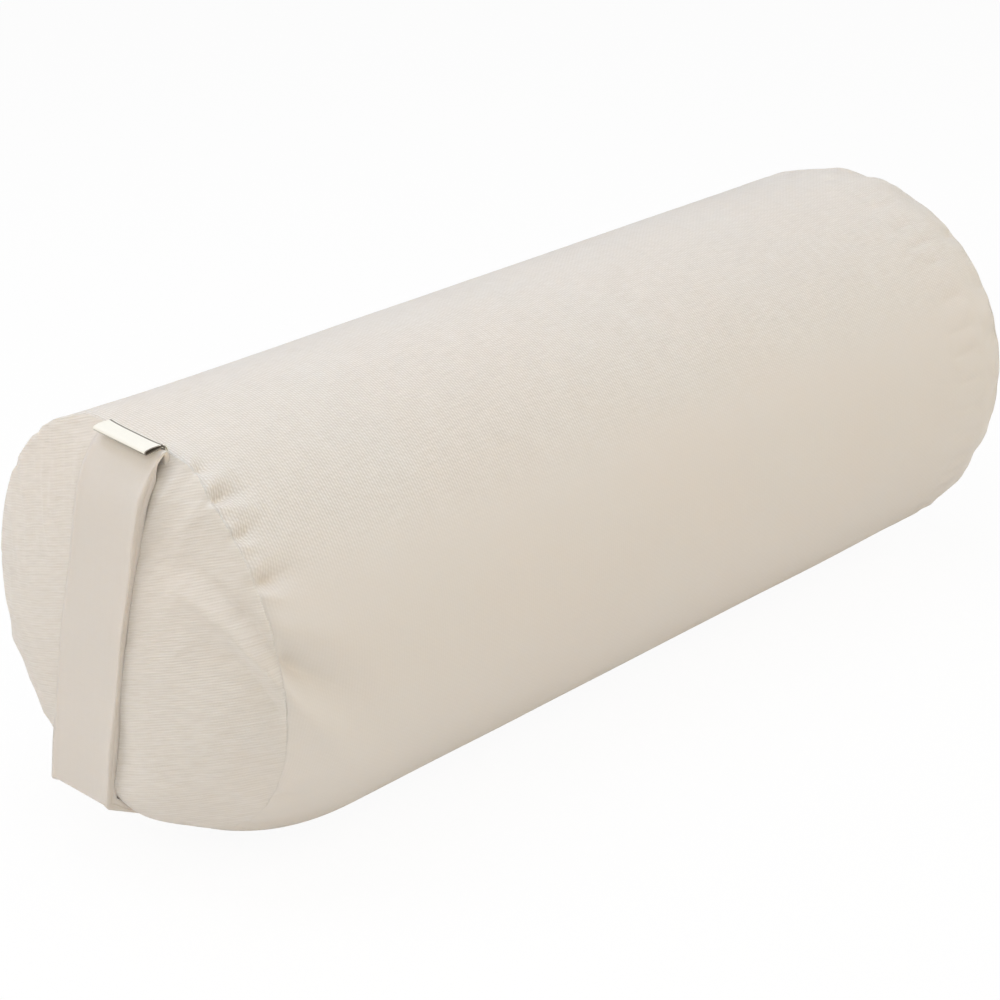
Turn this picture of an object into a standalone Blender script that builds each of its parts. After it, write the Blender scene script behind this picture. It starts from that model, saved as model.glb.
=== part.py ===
"""Round yoga bolster: a zipped twill cover around a filled inner bag, with a carry strap.

Metres, +Z up. +X runs along the bolster, away from the end that carries the strap, and +Y
points to the side with the zip. The origin lies on the flat patch underneath, midway
between the end seams.
The stuffed section is nearly a circle, a little taller than wide, and pressed flat below.
The near end is rounder: its seam rises at the bottom, and the panel is fullest low down.
"""

import math
from collections import namedtuple

import bmesh
import bpy
from mathutils import Matrix, Vector

# Stuffed shape
SEAM_SPAN = 0.5886
BARREL_RADIUS = 0.115
STRETCH_UP = 1.01
REST_SAG = 0.003
REST_BLEND = 0.06
NEAR_SHOULDER = 0.0745
NEAR_DROP = 0.0067
NEAR_CROWN = 0.0248
NEAR_CROWN_POWER = 2.65
NEAR_CROWN_EDGE = 0.93
FAR_SHOULDER = 0.0385
FAR_DROP = 0.0104
FAR_CROWN = 0.0161
FAR_CROWN_POWER = 2.5
FAR_CROWN_EDGE = 0.7
SHOULDER_POWER = 2.2

# How the near end differs from a turned shape
NEAR_TOP_RISE = 0.0105
NEAR_BOTTOM_RISE = 0.0163
NEAR_LEAN = 0.021
NEAR_LEAN_FADE = 0.06
NEAR_LOW_FULLNESS = 0.4165
STRAP_PRESS = 0.0072
STRAP_PRESS_ANGLE = math.radians(92.5)
STRAP_PRESS_SPREAD = math.radians(15)
STRAP_PRESS_POWER = 2.5

# Cloth of the cover and of the bag inside it
COVER_WALL = 0.001
SEAM_ALLOWANCE = 0.009
BAG_WALL = 0.0006
BAG_SET_BACK = 0.008
BAG_NECK_CLEARANCE = 0.004
BAG_END_CLEARANCE = 0.0008
FILLING_CLEARANCE = 0.0006

# Carry strap, sewn into the near seam at its top and bottom
STRAP_WIDTH = 0.044
STRAP_THICKNESS = 0.002
STRAP_TILT = math.radians(6.8)
STRAP_TOP_TILT = math.radians(3)
STRAP_OFFSET = 0.0023
STRAP_LINE = (
    (0.1069, 0.0088), (0.0936, 0.0153), (0.0747, 0.0192), (0.0406, 0.0236), (0.0028, 0.028),
    (-0.0351, 0.0325), (-0.0729, 0.0348),
)
STRAP_LEVEL_SPAN = 0.035
STRAP_TOP_SPAN = 0.03
STRAP_FOLD_RADIUS = 0.0016
STRAP_TAIL = 0.008

# Folded loop label over the top of the strap
LABEL_WIDTH = 0.04
LABEL_THICKNESS = 0.0005
LABEL_REACH = 0.0125
LABEL_DROOP = 0.0012
LABEL_LOOP_RADIUS = 0.0006

# Room that the tails of strap and label take between the two seam allowances
ROOM_MARGIN = 0.014
ROOM_FADE = 0.02
ROOM_DEPTH = 0.015

# Coil zip along the barrel, between the two shoulders
ZIP_SHOULDER_CLEARANCE = 0.002
ZIP_SLOT = 0.01
ZIP_TAPE_END = 0.012
ZIP_TAPE_WIDTH = 0.015
ZIP_TAPE_WALL = 0.0006
ZIP_CHAIN_GAP = 0.0014
ZIP_COIL_WIDTH = 0.0023
ZIP_COIL_HEIGHT = 0.0018
ZIP_COIL_ROUND = 0.0006
ZIP_STOP_LENGTH = 0.0026
ZIP_STOP_HEIGHT = 0.002
ZIP_DENT_SPREAD = math.radians(30)
SLIDER_LENGTH = 0.0105
SLIDER_WIDTH = 0.0086
SLIDER_TAIL_WIDTH = 0.0078
SLIDER_PLATE = 0.0012
SLIDER_UNDER_PLATE = 0.001
SLIDER_WALL = 0.0009
SLIDER_WALL_LIFT = 0.0004
SLIDER_NECK_WIDTH = 0.0008
SLIDER_NECK_LENGTH = 0.0035
CROWN_LENGTH = 0.007
CROWN_WIDTH = 0.0016
CROWN_BAR = 0.0009
PULL_LENGTH = 0.029
PULL_WIDTH = 0.007
PULL_HEAD_WIDTH = 0.0056
PULL_THICKNESS = 0.0011
PULL_PLAY = 0.0001
PULL_WINDOW_SIDE = 0.0004
PULL_HOLE = 0.003

# Gap that touching pieces keep, and how finely the shapes are divided
GAP = 0.0003
SEGMENTS = 48
ZIP_FACET = 3
SHOULDER_STEPS = 7
DOME_STEPS = 8
STRAP_STEPS = 4
ARC_STEPS = 5

# Places worked out from the sizes above
HALF_SPAN = SEAM_SPAN / 2
STEP_ANGLE = 2 * math.pi / SEGMENTS
REST_DEPTH = BARREL_RADIUS - REST_SAG
CENTRE_HEIGHT = REST_DEPTH * STRETCH_UP
BLEND_DOWN = REST_DEPTH - REST_BLEND
BLEND_ACROSS = math.sqrt((BARREL_RADIUS - REST_BLEND) ** 2 - BLEND_DOWN**2)
PANEL_SEAT = GAP / 2 + COVER_WALL
TAPE_TOP = -(COVER_WALL + GAP)
TAPE_BOTTOM = TAPE_TOP - ZIP_TAPE_WALL
COIL_BOTTOM = TAPE_TOP + GAP
COIL_TOP = COIL_BOTTOM + ZIP_COIL_HEIGHT
COIL_OUTER = ZIP_CHAIN_GAP / 2 + ZIP_COIL_WIDTH
PLATE_BOTTOM = COIL_TOP + GAP
PLATE_TOP = PLATE_BOTTOM + SLIDER_PLATE
UNDER_PLATE_TOP = TAPE_BOTTOM - GAP
UNDER_PLATE_BOTTOM = UNDER_PLATE_TOP - SLIDER_UNDER_PLATE
BAR_ROOM = PULL_THICKNESS / math.sqrt(2) + PULL_PLAY
PULL_AXIS = PLATE_TOP + BAR_ROOM
ZIP_ANGLE = (ZIP_FACET + 0.5) * STEP_ANGLE
TAPE_START = -HALF_SPAN + NEAR_SHOULDER + ZIP_SHOULDER_CLEARANCE
TAPE_END = HALF_SPAN - FAR_SHOULDER - ZIP_SHOULDER_CLEARANCE
SLOT_START = TAPE_START + ZIP_TAPE_END
SLOT_END = TAPE_END - ZIP_TAPE_END
CHAIN_START = SLOT_START + 2 * GAP + ZIP_STOP_LENGTH
CHAIN_END = SLOT_END - 2 * GAP - ZIP_STOP_LENGTH
SLIDER_PLACE = CHAIN_END + GAP / 2 - SLIDER_LENGTH / 2

End = namedtuple("End", "side shoulder drop crown power edge")
NEAR_END = End(-1, NEAR_SHOULDER, NEAR_DROP, NEAR_CROWN, NEAR_CROWN_POWER, NEAR_CROWN_EDGE)
FAR_END = End(1, FAR_SHOULDER, FAR_DROP, FAR_CROWN, FAR_CROWN_POWER, FAR_CROWN_EDGE)


# Materials

def srgb(red, green, blue):
    """Linear colour of an 8-bit screen colour."""
    def linear(value):
        share = value / 255
        return share / 12.92 if share <= 0.04045 else ((share + 0.055) / 1.055) ** 2.4
    return (linear(red), linear(green), linear(blue), 1.0)


def finish(name, colour, roughness, metallic=0.0):
    """Principled material with one colour."""
    material = bpy.data.materials.new(name)
    material.use_nodes = True
    shader = material.node_tree.nodes["Principled BSDF"]
    shader.inputs["Base Color"].default_value = colour
    shader.inputs["Roughness"].default_value = roughness
    shader.inputs["Metallic"].default_value = metallic
    return material


# Section and profiles

def section_reach(angle, inset):
    """Distance from the section's centre to its outline, inset evenly, before the stretch."""
    down = -math.sin(angle)
    across = abs(math.cos(angle))
    if down * BLEND_ACROSS <= across * BLEND_DOWN:
        return BARREL_RADIUS - inset
    floor = REST_DEPTH - inset
    if floor * across <= BLEND_ACROSS * down:
        return floor / down
    middle = across * BLEND_ACROSS + down * BLEND_DOWN
    blend = REST_BLEND - inset
    return middle + math.sqrt(blend**2 - BLEND_ACROSS**2 - BLEND_DOWN**2 + middle**2)


def section_point(angle, inset, share=1.0):
    """Point (y, z) of the section's outline, scaled about its centre by a share."""
    reach = section_reach(angle, inset) * share
    return Vector((reach * math.cos(angle), CENTRE_HEIGHT + reach * math.sin(angle) * STRETCH_UP))


def near_seam_drop(angle):
    """How far the near seam lies inside the barrel's outline at this angle."""
    up = math.sin(angle)
    away = abs(math.remainder(angle - STRAP_PRESS_ANGLE, 2 * math.pi)) / STRAP_PRESS_SPREAD
    pressed = STRAP_PRESS * math.exp(-(away**STRAP_PRESS_POWER))
    return NEAR_DROP - NEAR_TOP_RISE * max(up, 0) ** 2 + NEAR_BOTTOM_RISE * max(-up, 0) ** 2 + pressed


def near_share(x):
    """How fully a place along the bolster follows the near seam's own outline."""
    return (1 - min(max((x + HALF_SPAN) / NEAR_SHOULDER, 0), 1)) ** SHOULDER_POWER


def leaning(x, z):
    """Place along the bolster after the near end leans: outwards above, inwards below."""
    fade = min(max(1 - (x + HALF_SPAN) / NEAR_LEAN_FADE, 0), 1)
    return x - NEAR_LEAN * (z - CENTRE_HEIGHT) * fade


def strap_frame(y, z):
    """How far a point lies across and along the strap, from the section's centre."""
    up = z - CENTRE_HEIGHT
    across = y * math.cos(STRAP_TILT) + up * math.sin(STRAP_TILT)
    along = -y * math.sin(STRAP_TILT) + up * math.cos(STRAP_TILT)
    return across, along


def from_strap_frame(out, across, along):
    """World point at a distance out of the near seam's plane, across and along the strap."""
    y = across * math.cos(STRAP_TILT) - along * math.sin(STRAP_TILT)
    up = across * math.sin(STRAP_TILT) + along * math.cos(STRAP_TILT)
    z = CENTRE_HEIGHT + up
    return Vector((leaning(-HALF_SPAN - out, z), y, z))


def tail_room(y, z):
    """How far the sewn-in tails push the barrel's edge inwards at this point of the seam."""
    across, along = strap_frame(y, z)
    beyond = abs(across - STRAP_OFFSET) - STRAP_WIDTH / 2 - ROOM_MARGIN
    fade = min(max(1 - beyond / ROOM_FADE, 0), 1)
    room = STRAP_THICKNESS + GAP
    if along > 0:
        room += 2 * (LABEL_THICKNESS + GAP)
    return room * fade * fade * (3 - 2 * fade)


def zip_dent(angle):
    """How far the inner bag gives way under the zip and its slider."""
    away = abs(angle - ZIP_ANGLE)
    if away >= ZIP_DENT_SPREAD:
        return 0.0
    depth = -UNDER_PLATE_BOTTOM - COVER_WALL
    edge = math.cos(STEP_ANGLE / 2 / ZIP_DENT_SPREAD * math.pi / 2) ** 2
    return depth / edge * math.cos(away / ZIP_DENT_SPREAD * math.pi / 2) ** 2


def shoulder_line(end, drop, seam, reach):
    """Profile (x, radius) from an end's seam up its shoulder to the barrel."""
    line = []
    for step in range(SHOULDER_STEPS + 1):
        share = step / SHOULDER_STEPS
        fall = drop * (1 - share) ** SHOULDER_POWER
        line.append((end.side * (seam - share * end.shoulder), reach - fall))
    return line


def dome_line(end, start, crown, rim):
    """Profile (x, radius) from an end panel's rim over its crown to the axis."""
    line = []
    for step in range(DOME_STEPS + 1):
        share = math.cos(step / DOME_STEPS * math.pi / 2)
        rise = crown * (1 - share**end.power) ** end.edge
        line.append((end.side * (start + rise), rim * share))
    line[-1] = (line[-1][0], 0.0)
    return line


def offset_line(line, distance):
    """Shift a polyline to its right by a distance, with mitred corners."""
    points = [Vector(point) for point in line]
    shifted = []
    for index, point in enumerate(points):
        before = points[index] - points[index - 1] if index else None
        after = points[index + 1] - point if index + 1 < len(points) else None
        first = (before or after).normalized()
        second = (after or before).normalized()
        first = Vector((first.y, -first.x))
        second = Vector((second.y, -second.x))
        mitre = (first + second).normalized()
        shifted.append(point + mitre * (distance / mitre.dot(first)))
    return [tuple(point) for point in shifted]


# Meshes

def ring(x, radius, rim=0.0, dented=False, pushed=0.0):
    """One ring of points, inset like the section, and inside a rim the rim's ring scaled."""
    points = []
    inset = BARREL_RADIUS - max(radius, rim)
    share = radius / rim if radius < rim else 1.0
    rise = max(-x - HALF_SPAN - PANEL_SEAT, 0)
    for step in range(SEGMENTS):
        angle = step * STEP_ANGLE
        dent = zip_dent(angle) if dented else 0.0
        own = near_share(x) * (near_seam_drop(angle) - NEAR_DROP)
        y, z = section_point(angle, inset + dent + own, share)
        swollen = x + rise * NEAR_LOW_FULLNESS * math.sin(angle) * share
        points.append(Vector((leaning(swollen + pushed * tail_room(y, z), z), y, z)))
    return points


def new_object(name, mesh, material):
    """Turn a bmesh into an object that is closed, faces outwards and is shaded smooth."""
    bmesh.ops.recalc_face_normals(mesh, faces=mesh.faces)
    data = bpy.data.meshes.new(name)
    mesh.to_mesh(data)
    mesh.free()
    data.materials.append(material)
    data.shade_smooth()
    data.set_sharp_from_angle(angle=math.radians(35))
    thing = bpy.data.objects.new(name, data)
    bpy.context.collection.objects.link(thing)
    return thing


def turned(name, rings, material, looped):
    """Skin a row of rings; a ring of radius 0 closes to one point, a looped row to a tube."""
    mesh = bmesh.new()
    rows = []
    for points in rings:
        if (points[0] - points[SEGMENTS // 2]).length < GAP:
            rows.append([mesh.verts.new(points[0])] * SEGMENTS)
        else:
            rows.append([mesh.verts.new(point) for point in points])
    last = len(rows) if looped else len(rows) - 1
    for index in range(last):
        lower = rows[index]
        upper = rows[(index + 1) % len(rows)]
        for step in range(SEGMENTS):
            following = (step + 1) % SEGMENTS
            corners = [lower[step], lower[following], upper[following], upper[step]]
            if len(set(corners)) > 2:
                mesh.faces.new(dict.fromkeys(corners))
    return new_object(name, mesh, material)


def ribbon(name, route, thickness, offset, width, material):
    """Bend a flat band along a route (out, along) of the strap's frame."""
    mesh = bmesh.new()
    left = offset_line(route, thickness / 2)
    right = offset_line(route, -thickness / 2)
    rows = []
    for centre, side_a, side_b in zip(route, left, right):
        slope = band_lean(centre[1])
        row = []
        for (out, along), across in (
            (side_a, offset - width / 2),
            (side_a, offset + width / 2),
            (side_b, offset + width / 2),
            (side_b, offset - width / 2),
        ):
            row.append(mesh.verts.new(from_strap_frame(out, across, along - across * slope)))
        rows.append(row)
    for lower, upper in zip(rows, rows[1:]):
        for corner in range(4):
            following = (corner + 1) % 4
            mesh.faces.new((lower[corner], lower[following], upper[following], upper[corner]))
    mesh.faces.new(rows[0])
    mesh.faces.new(rows[-1])
    return new_object(name, mesh, material)


def prism(name, outline, start, end, material):
    """Extrude an outline of (y, z) points along X."""
    mesh = bmesh.new()
    first = [mesh.verts.new((start, y, z)) for y, z in outline]
    second = [mesh.verts.new((end, y, z)) for y, z in outline]
    count = len(outline)
    for index in range(count):
        following = (index + 1) % count
        mesh.faces.new((first[index], first[following], second[following], second[index]))
    mesh.faces.new(first)
    mesh.faces.new(second)
    return new_object(name, mesh, material)


def arc(centre, radius, start, end, steps=ARC_STEPS):
    """Points on an arc, by angle in degrees."""
    points = []
    for step in range(steps + 1):
        angle = math.radians(start + (end - start) * step / steps)
        points.append((centre[0] + radius * math.cos(angle), centre[1] + radius * math.sin(angle)))
    return points


def boolean(target, helper, operation):
    """Cut or add a helper object, which stays hidden in renders."""
    helper.hide_render = True
    helper.display_type = "WIRE"
    modifier = target.modifiers.new(helper.name, "BOOLEAN")
    modifier.operation = operation
    modifier.object = helper
    modifier.solver = "EXACT"


# Cover

def cover_barrel(material):
    """Tube of cover cloth with both seam allowances turned in and a slot for the zip."""
    near_rim = BARREL_RADIUS - NEAR_DROP
    far_rim = BARREL_RADIUS - FAR_DROP
    near = shoulder_line(NEAR_END, NEAR_DROP, HALF_SPAN, BARREL_RADIUS)
    far = shoulder_line(FAR_END, FAR_DROP, HALF_SPAN, BARREL_RADIUS)
    outer = [(-HALF_SPAN, near_rim - SEAM_ALLOWANCE)] + near
    outer += far[::-1] + [(HALF_SPAN, far_rim - SEAM_ALLOWANCE)]
    inner = offset_line(outer, COVER_WALL)
    rings = []
    for x, radius in outer + inner[::-1]:
        pushed = min(max(1 - (x + HALF_SPAN - COVER_WALL) / ROOM_DEPTH, 0), 1)
        rings.append(ring(x, radius, pushed=pushed))
    barrel = turned("cover_barrel", rings, material, looped=True)
    slot = zip_box("zip_slot", SLOT_START, SLOT_END, ZIP_SLOT, TAPE_BOTTOM, PLATE_TOP, material)
    boolean(barrel, slot, "DIFFERENCE")
    return barrel


def end_panel(name, end, material):
    """Shell of an end panel: dome, rim and flat allowance, one closed body."""
    rim = BARREL_RADIUS - end.drop
    flat_inner = end.side * (HALF_SPAN + GAP / 2)
    flat_outer = end.side * (HALF_SPAN + PANEL_SEAT)
    dome = dome_line(end, HALF_SPAN + PANEL_SEAT, end.crown, rim)
    under = offset_line(dome, end.side * COVER_WALL)
    under[-1] = (dome[-1][0] - end.side * COVER_WALL, 0.0)
    profile = [(flat_inner, rim - SEAM_ALLOWANCE), (flat_inner, rim)] + dome
    profile += under[:0:-1] + [(flat_outer, rim - SEAM_ALLOWANCE)]
    rings = [ring(x, radius, rim) for x, radius in profile]
    return turned(name, rings, material, looped=True)


# Strap and label

def seam_along(sign):
    """Where the strap's centreline crosses the near seam, along the strap."""
    angle = STRAP_TILT + sign * math.pi / 2
    y, z = section_point(angle, near_seam_drop(angle))
    return strap_frame(y, z)[1]


def band_lean(along):
    """Slope of a band across its width: near level at the top, level from the fold down."""
    top_slope = math.tan(STRAP_TILT) - math.tan(STRAP_TOP_TILT)
    top_share = min(max(1 - (seam_along(1) - along) / STRAP_TOP_SPAN, 0), 1)
    low_share = min(max((STRAP_LINE[-1][0] + STRAP_LEVEL_SPAN - along) / STRAP_LEVEL_SPAN, 0), 1)
    return top_slope * top_share + math.tan(STRAP_TILT) * low_share


def eased_line(points, steps):
    """Put extra places (out, along) on a smooth curve through points (along, out)."""
    line = []
    slopes = []
    for index in range(len(points)):
        before = points[max(index - 1, 0)]
        after = points[min(index + 1, len(points) - 1)]
        slopes.append((after[1] - before[1]) / (after[0] - before[0]))
    for index in range(len(points) - 1):
        (first, low), (second, high) = points[index], points[index + 1]
        run = second - first
        for step in range(steps):
            share = step / steps
            rest = 1 - share
            out = low * rest**2 * (1 + 2 * share) + high * share**2 * (1 + 2 * rest)
            out += run * share * rest * (slopes[index] * rest - slopes[index + 1] * share)
            line.append((out, first + run * share))
    return line + [points[-1][::-1]]


def carry_strap(material):
    """Flat strap from the top seam down over the end panel, folded back to the bottom seam."""
    top = seam_along(1)
    bottom = seam_along(-1)
    turn = COVER_WALL / 2 + 2 * GAP + STRAP_THICKNESS / 2
    over = (GAP / 2 + COVER_WALL / 2, top)
    under = (GAP / 2 + COVER_WALL / 2, bottom)
    seat = -(GAP + STRAP_THICKNESS) / 2
    route = [(seat, top - STRAP_TAIL), (seat, top)] + arc(over, turn, 120, 60)
    route += eased_line(STRAP_LINE, STRAP_STEPS)
    knee = route[-1]
    route += arc((knee[0] - STRAP_FOLD_RADIUS, knee[1]), STRAP_FOLD_RADIUS, -25, -65, 2)
    route += arc(under, turn + GAP, -75, -120) + [(seat, bottom), (seat, bottom + STRAP_TAIL)]
    return ribbon("carry_strap", route, STRAP_THICKNESS, STRAP_OFFSET, STRAP_WIDTH, material)


def seam_label(material):
    """Short folded loop of tape in the top seam, lying out over the strap."""
    top = seam_along(1)
    inner_seat = -(GAP / 2 + STRAP_THICKNESS + GAP + LABEL_THICKNESS / 2)
    outer_seat = inner_seat - LABEL_THICKNESS - GAP
    crest = top + COVER_WALL / 2 + 2 * GAP + STRAP_THICKNESS + GAP + LABEL_THICKNESS / 2
    bend = crest - top
    loop = LABEL_LOOP_RADIUS
    tip = (LABEL_REACH - loop, crest + loop - LABEL_DROOP)
    lower = arc((inner_seat + bend, top), bend, 180, 90)
    upper_bend = bend + LABEL_THICKNESS + GAP
    upper = arc((outer_seat + upper_bend, top), upper_bend, 90, 180)
    route = [(inner_seat, top - STRAP_TAIL)] + lower
    route += arc(tip, loop, -90, 90) + upper + [(outer_seat, top - STRAP_TAIL)]
    return ribbon("seam_label", route, LABEL_THICKNESS, STRAP_OFFSET, LABEL_WIDTH, material)


# Zip

def zip_axes():
    """Centre of the slot's facet, and its directions along the section and outwards."""
    low = section_point(ZIP_FACET * STEP_ANGLE, 0)
    high = section_point((ZIP_FACET + 1) * STEP_ANGLE, 0)
    tangent = (high - low).normalized()
    return (low + high) / 2, tangent, Vector((tangent.y, -tangent.x))


def zip_point(across, rise):
    """Point (y, z) at a place across the zip and a height above the cover's outer face."""
    centre, tangent, normal = zip_axes()
    return centre + tangent * across + normal * rise


def zip_box(name, start, end, width, low, high, material):
    """Box in the zip's frame."""
    outline = [zip_point(-width / 2, low), zip_point(width / 2, low)]
    outline += [zip_point(width / 2, high), zip_point(-width / 2, high)]
    return prism(name, outline, start, end, material)


def tape_line(side, depth):
    """Line (y, z) of a tape face: from the chain, around the facet's corner, to its far edge."""
    corner = ZIP_FACET + (1 if side > 0 else 0)
    bend = section_point(corner * STEP_ANGLE, depth)
    beyond = section_point((corner + side) * STEP_ANGLE, depth)
    start = zip_point(side * ZIP_CHAIN_GAP / 2, 0)
    centre, tangent, normal = zip_axes()
    start += normal * (bend - start).dot(normal)
    run = ZIP_TAPE_WIDTH - (bend - start).length
    return [start, bend, bend + (beyond - bend).normalized() * run]


def zip_tape(name, side, material):
    """Woven tape under the cover's edge."""
    top = tape_line(side, COVER_WALL + GAP)
    bottom = tape_line(side, COVER_WALL + GAP + ZIP_TAPE_WALL)
    return prism(name, top + bottom[::-1], TAPE_START, TAPE_END, material)


def coil_outline(side):
    """Rounded bead of one coil, in the slot above its tape."""
    inner = ZIP_CHAIN_GAP / 2
    shape = [(inner, COIL_BOTTOM), (COIL_OUTER, COIL_BOTTOM)]
    shape += [(COIL_OUTER, COIL_TOP - ZIP_COIL_ROUND), (COIL_OUTER - ZIP_COIL_ROUND, COIL_TOP)]
    shape += [(inner + ZIP_COIL_ROUND, COIL_TOP), (inner, COIL_TOP - ZIP_COIL_ROUND)]
    return [zip_point(side * across, rise) for across, rise in shape]


def stop_outline(low, high):
    """Crimped stop between two places across the zip."""
    top = COIL_BOTTOM + ZIP_STOP_HEIGHT
    corners = ((low, COIL_BOTTOM), (high, COIL_BOTTOM), (high, top), (low, top))
    return [zip_point(across, rise) for across, rise in corners]


def in_zip_frame(thing, x):
    """Place an object that was modelled with +Y across the zip and +Z outwards."""
    centre, tangent, normal = zip_axes()
    thing.matrix_world = Matrix((
        (1, 0, 0, x),
        (0, tangent.x, normal.x, centre.x),
        (0, tangent.y, normal.y, centre.y),
        (0, 0, 0, 1),
    ))
    return thing


def plate(name, outline, low, high, material):
    """Extrude an outline of (x, y) points upwards."""
    mesh = bmesh.new()
    bottom = [mesh.verts.new((x, y, low)) for x, y in outline]
    top = [mesh.verts.new((x, y, high)) for x, y in outline]
    count = len(outline)
    for index in range(count):
        following = (index + 1) % count
        mesh.faces.new((bottom[index], bottom[following], top[following], top[index]))
    mesh.faces.new(bottom)
    mesh.faces.new(top)
    return new_object(name, mesh, material)


def rectangle(start, end, low, high):
    """Outline between two x and two y values."""
    return [(start, low), (end, low), (end, high), (start, high)]


def slider_outline():
    """Plate of the slider: wide at the shoulders where the chains part, narrower behind."""
    front = SLIDER_LENGTH / 2
    cut = SLIDER_LENGTH / 4
    wide = SLIDER_WIDTH / 2
    narrow = SLIDER_TAIL_WIDTH / 2
    side = [(front, wide / 3), (front - cut / 2, wide), (front - cut, wide), (-front, narrow)]
    return side + [(x, -y) for x, y in side[::-1]]


def zip_slider(material):
    """Two plates joined by a neck between the chains, side walls and a crown for the pull."""
    slider = plate("zip_slider", slider_outline(), PLATE_BOTTOM, PLATE_TOP, material)
    front = SLIDER_LENGTH / 2
    neck = rectangle(
        front - SLIDER_NECK_LENGTH - SLIDER_LENGTH / 8, front - SLIDER_LENGTH / 8,
        -SLIDER_NECK_WIDTH / 2, SLIDER_NECK_WIDTH / 2,
    )
    under_width = SLIDER_TAIL_WIDTH / 2
    parts = [
        plate("slider_under", rectangle(-front, front, -under_width, under_width),
              UNDER_PLATE_BOTTOM, UNDER_PLATE_TOP, material),
        plate("slider_neck", neck, UNDER_PLATE_BOTTOM + SLIDER_UNDER_PLATE / 2,
              PLATE_BOTTOM + SLIDER_PLATE / 2, material),
    ]
    wall_low = TAPE_TOP + SLIDER_WALL_LIFT
    for side in (-1, 1):
        edge = side * SLIDER_TAIL_WIDTH / 2
        inner = edge - side * SLIDER_WALL
        wall = rectangle(-front, front - SLIDER_LENGTH / 4, min(edge, inner), max(edge, inner))
        name = "slider_wall_left" if side < 0 else "slider_wall_right"
        parts.append(plate(name, wall, wall_low, PLATE_BOTTOM + SLIDER_PLATE / 2, material))
    crown = crown_arch(material)
    parts.append(crown)
    for part in parts:
        boolean(slider, part, "UNION")
        in_zip_frame(part, SLIDER_PLACE)
    return in_zip_frame(slider, SLIDER_PLACE)


def crown_arch(material):
    """Flat-topped arch over the slider that the pull's bar turns under."""
    half = CROWN_LENGTH / 2
    low = PLATE_TOP - SLIDER_PLATE / 2
    inside = PULL_AXIS + BAR_ROOM
    top = inside + CROWN_BAR
    shape = [(-half, low), (-half, inside), (-half + CROWN_BAR, top), (half - CROWN_BAR, top)]
    shape += [(half, inside), (half, low), (half - CROWN_BAR, low), (half - CROWN_BAR, inside)]
    shape += [(-half + CROWN_BAR, inside), (-half + CROWN_BAR, low)]
    mesh = bmesh.new()
    first = [mesh.verts.new((x, -CROWN_WIDTH / 2, z)) for x, z in shape]
    second = [mesh.verts.new((x, CROWN_WIDTH / 2, z)) for x, z in shape]
    count = len(shape)
    for index in range(count):
        following = (index + 1) % count
        mesh.faces.new((first[index], first[following], second[following], second[index]))
    mesh.faces.new(first)
    mesh.faces.new(second)
    return new_object("slider_crown", mesh, material)


def zip_pull(material):
    """Flat pull with a window for the crown; its end bar is the hinge."""
    bar = PULL_THICKNESS / 2
    window_half = CROWN_WIDTH / 2 + PULL_WINDOW_SIDE
    head = PULL_HEAD_WIDTH / 2
    wide = PULL_WIDTH / 2
    window_end = CROWN_LENGTH / 2 + 2 * bar
    neck = window_end + 2 * bar
    tip = PULL_LENGTH
    side = [(bar, head), (-neck, head), (-neck - wide, wide), (-tip + wide / 2, wide)]
    side.append((-tip, wide / 2))
    outline = side + [(x, -y) for x, y in side[::-1]]
    pull = plate("zip_pull", outline, -bar, bar, material)
    hole_centre = -tip + wide
    hole_outline = arc((hole_centre, 0), PULL_HOLE / 2, 0, 330, 11)
    cutters = [
        plate("pull_window", rectangle(-window_end, -bar, -window_half, window_half),
              -2 * bar, 2 * bar, material),
        plate("pull_hole", hole_outline, -2 * bar, 2 * bar, material),
    ]
    for cutter in cutters:
        boolean(pull, cutter, "DIFFERENCE")
    for thing in cutters + [pull]:
        in_zip_frame(thing, SLIDER_PLACE)
        lift = zip_point(0, PULL_AXIS) - zip_point(0, 0)
        thing.matrix_world.translation += Vector((0, lift.x, lift.y))
    return pull


def zip_parts(tape, coil, metal):
    """Every piece of the zip."""
    zip_tape("zip_tape_upper", 1, tape)
    zip_tape("zip_tape_lower", -1, tape)
    prism("zip_coil_upper", coil_outline(1), CHAIN_START, CHAIN_END, coil)
    prism("zip_coil_lower", coil_outline(-1), CHAIN_START, CHAIN_END, coil)
    inner = ZIP_CHAIN_GAP / 2
    upper_stop = stop_outline(inner, COIL_OUTER)
    lower_stop = stop_outline(-COIL_OUTER, -inner)
    bottom_stop = stop_outline(-COIL_OUTER, COIL_OUTER)
    top_start = CHAIN_END + GAP
    top_end = top_start + ZIP_STOP_LENGTH
    bottom_end = CHAIN_START - GAP
    prism("zip_top_stop_upper", upper_stop, top_start, top_end, metal)
    prism("zip_top_stop_lower", lower_stop, top_start, top_end, metal)
    prism("zip_bottom_stop", bottom_stop, bottom_end - ZIP_STOP_LENGTH, bottom_end, metal)
    zip_slider(metal)
    zip_pull(metal)


# Inner cushion

def bag_rim(end):
    """Radius of the inner bag's end seam, which passes inside the cover's allowances."""
    return BARREL_RADIUS - end.drop - SEAM_ALLOWANCE - BAG_NECK_CLEARANCE


def bag_shoulder(end):
    """Profile of the inner bag from its end seam to the barrel."""
    reach = BARREL_RADIUS - COVER_WALL - GAP
    return shoulder_line(end, reach - bag_rim(end), HALF_SPAN - BAG_SET_BACK, reach)


def bag_dome(end):
    """Profile of the inner bag's end, which fills the cover's end panel."""
    start = HALF_SPAN - BAG_SET_BACK + GAP
    crown = GAP / 2 + end.crown - BAG_END_CLEARANCE + BAG_SET_BACK - GAP
    return dome_line(end, start, crown, bag_rim(end))


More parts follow.
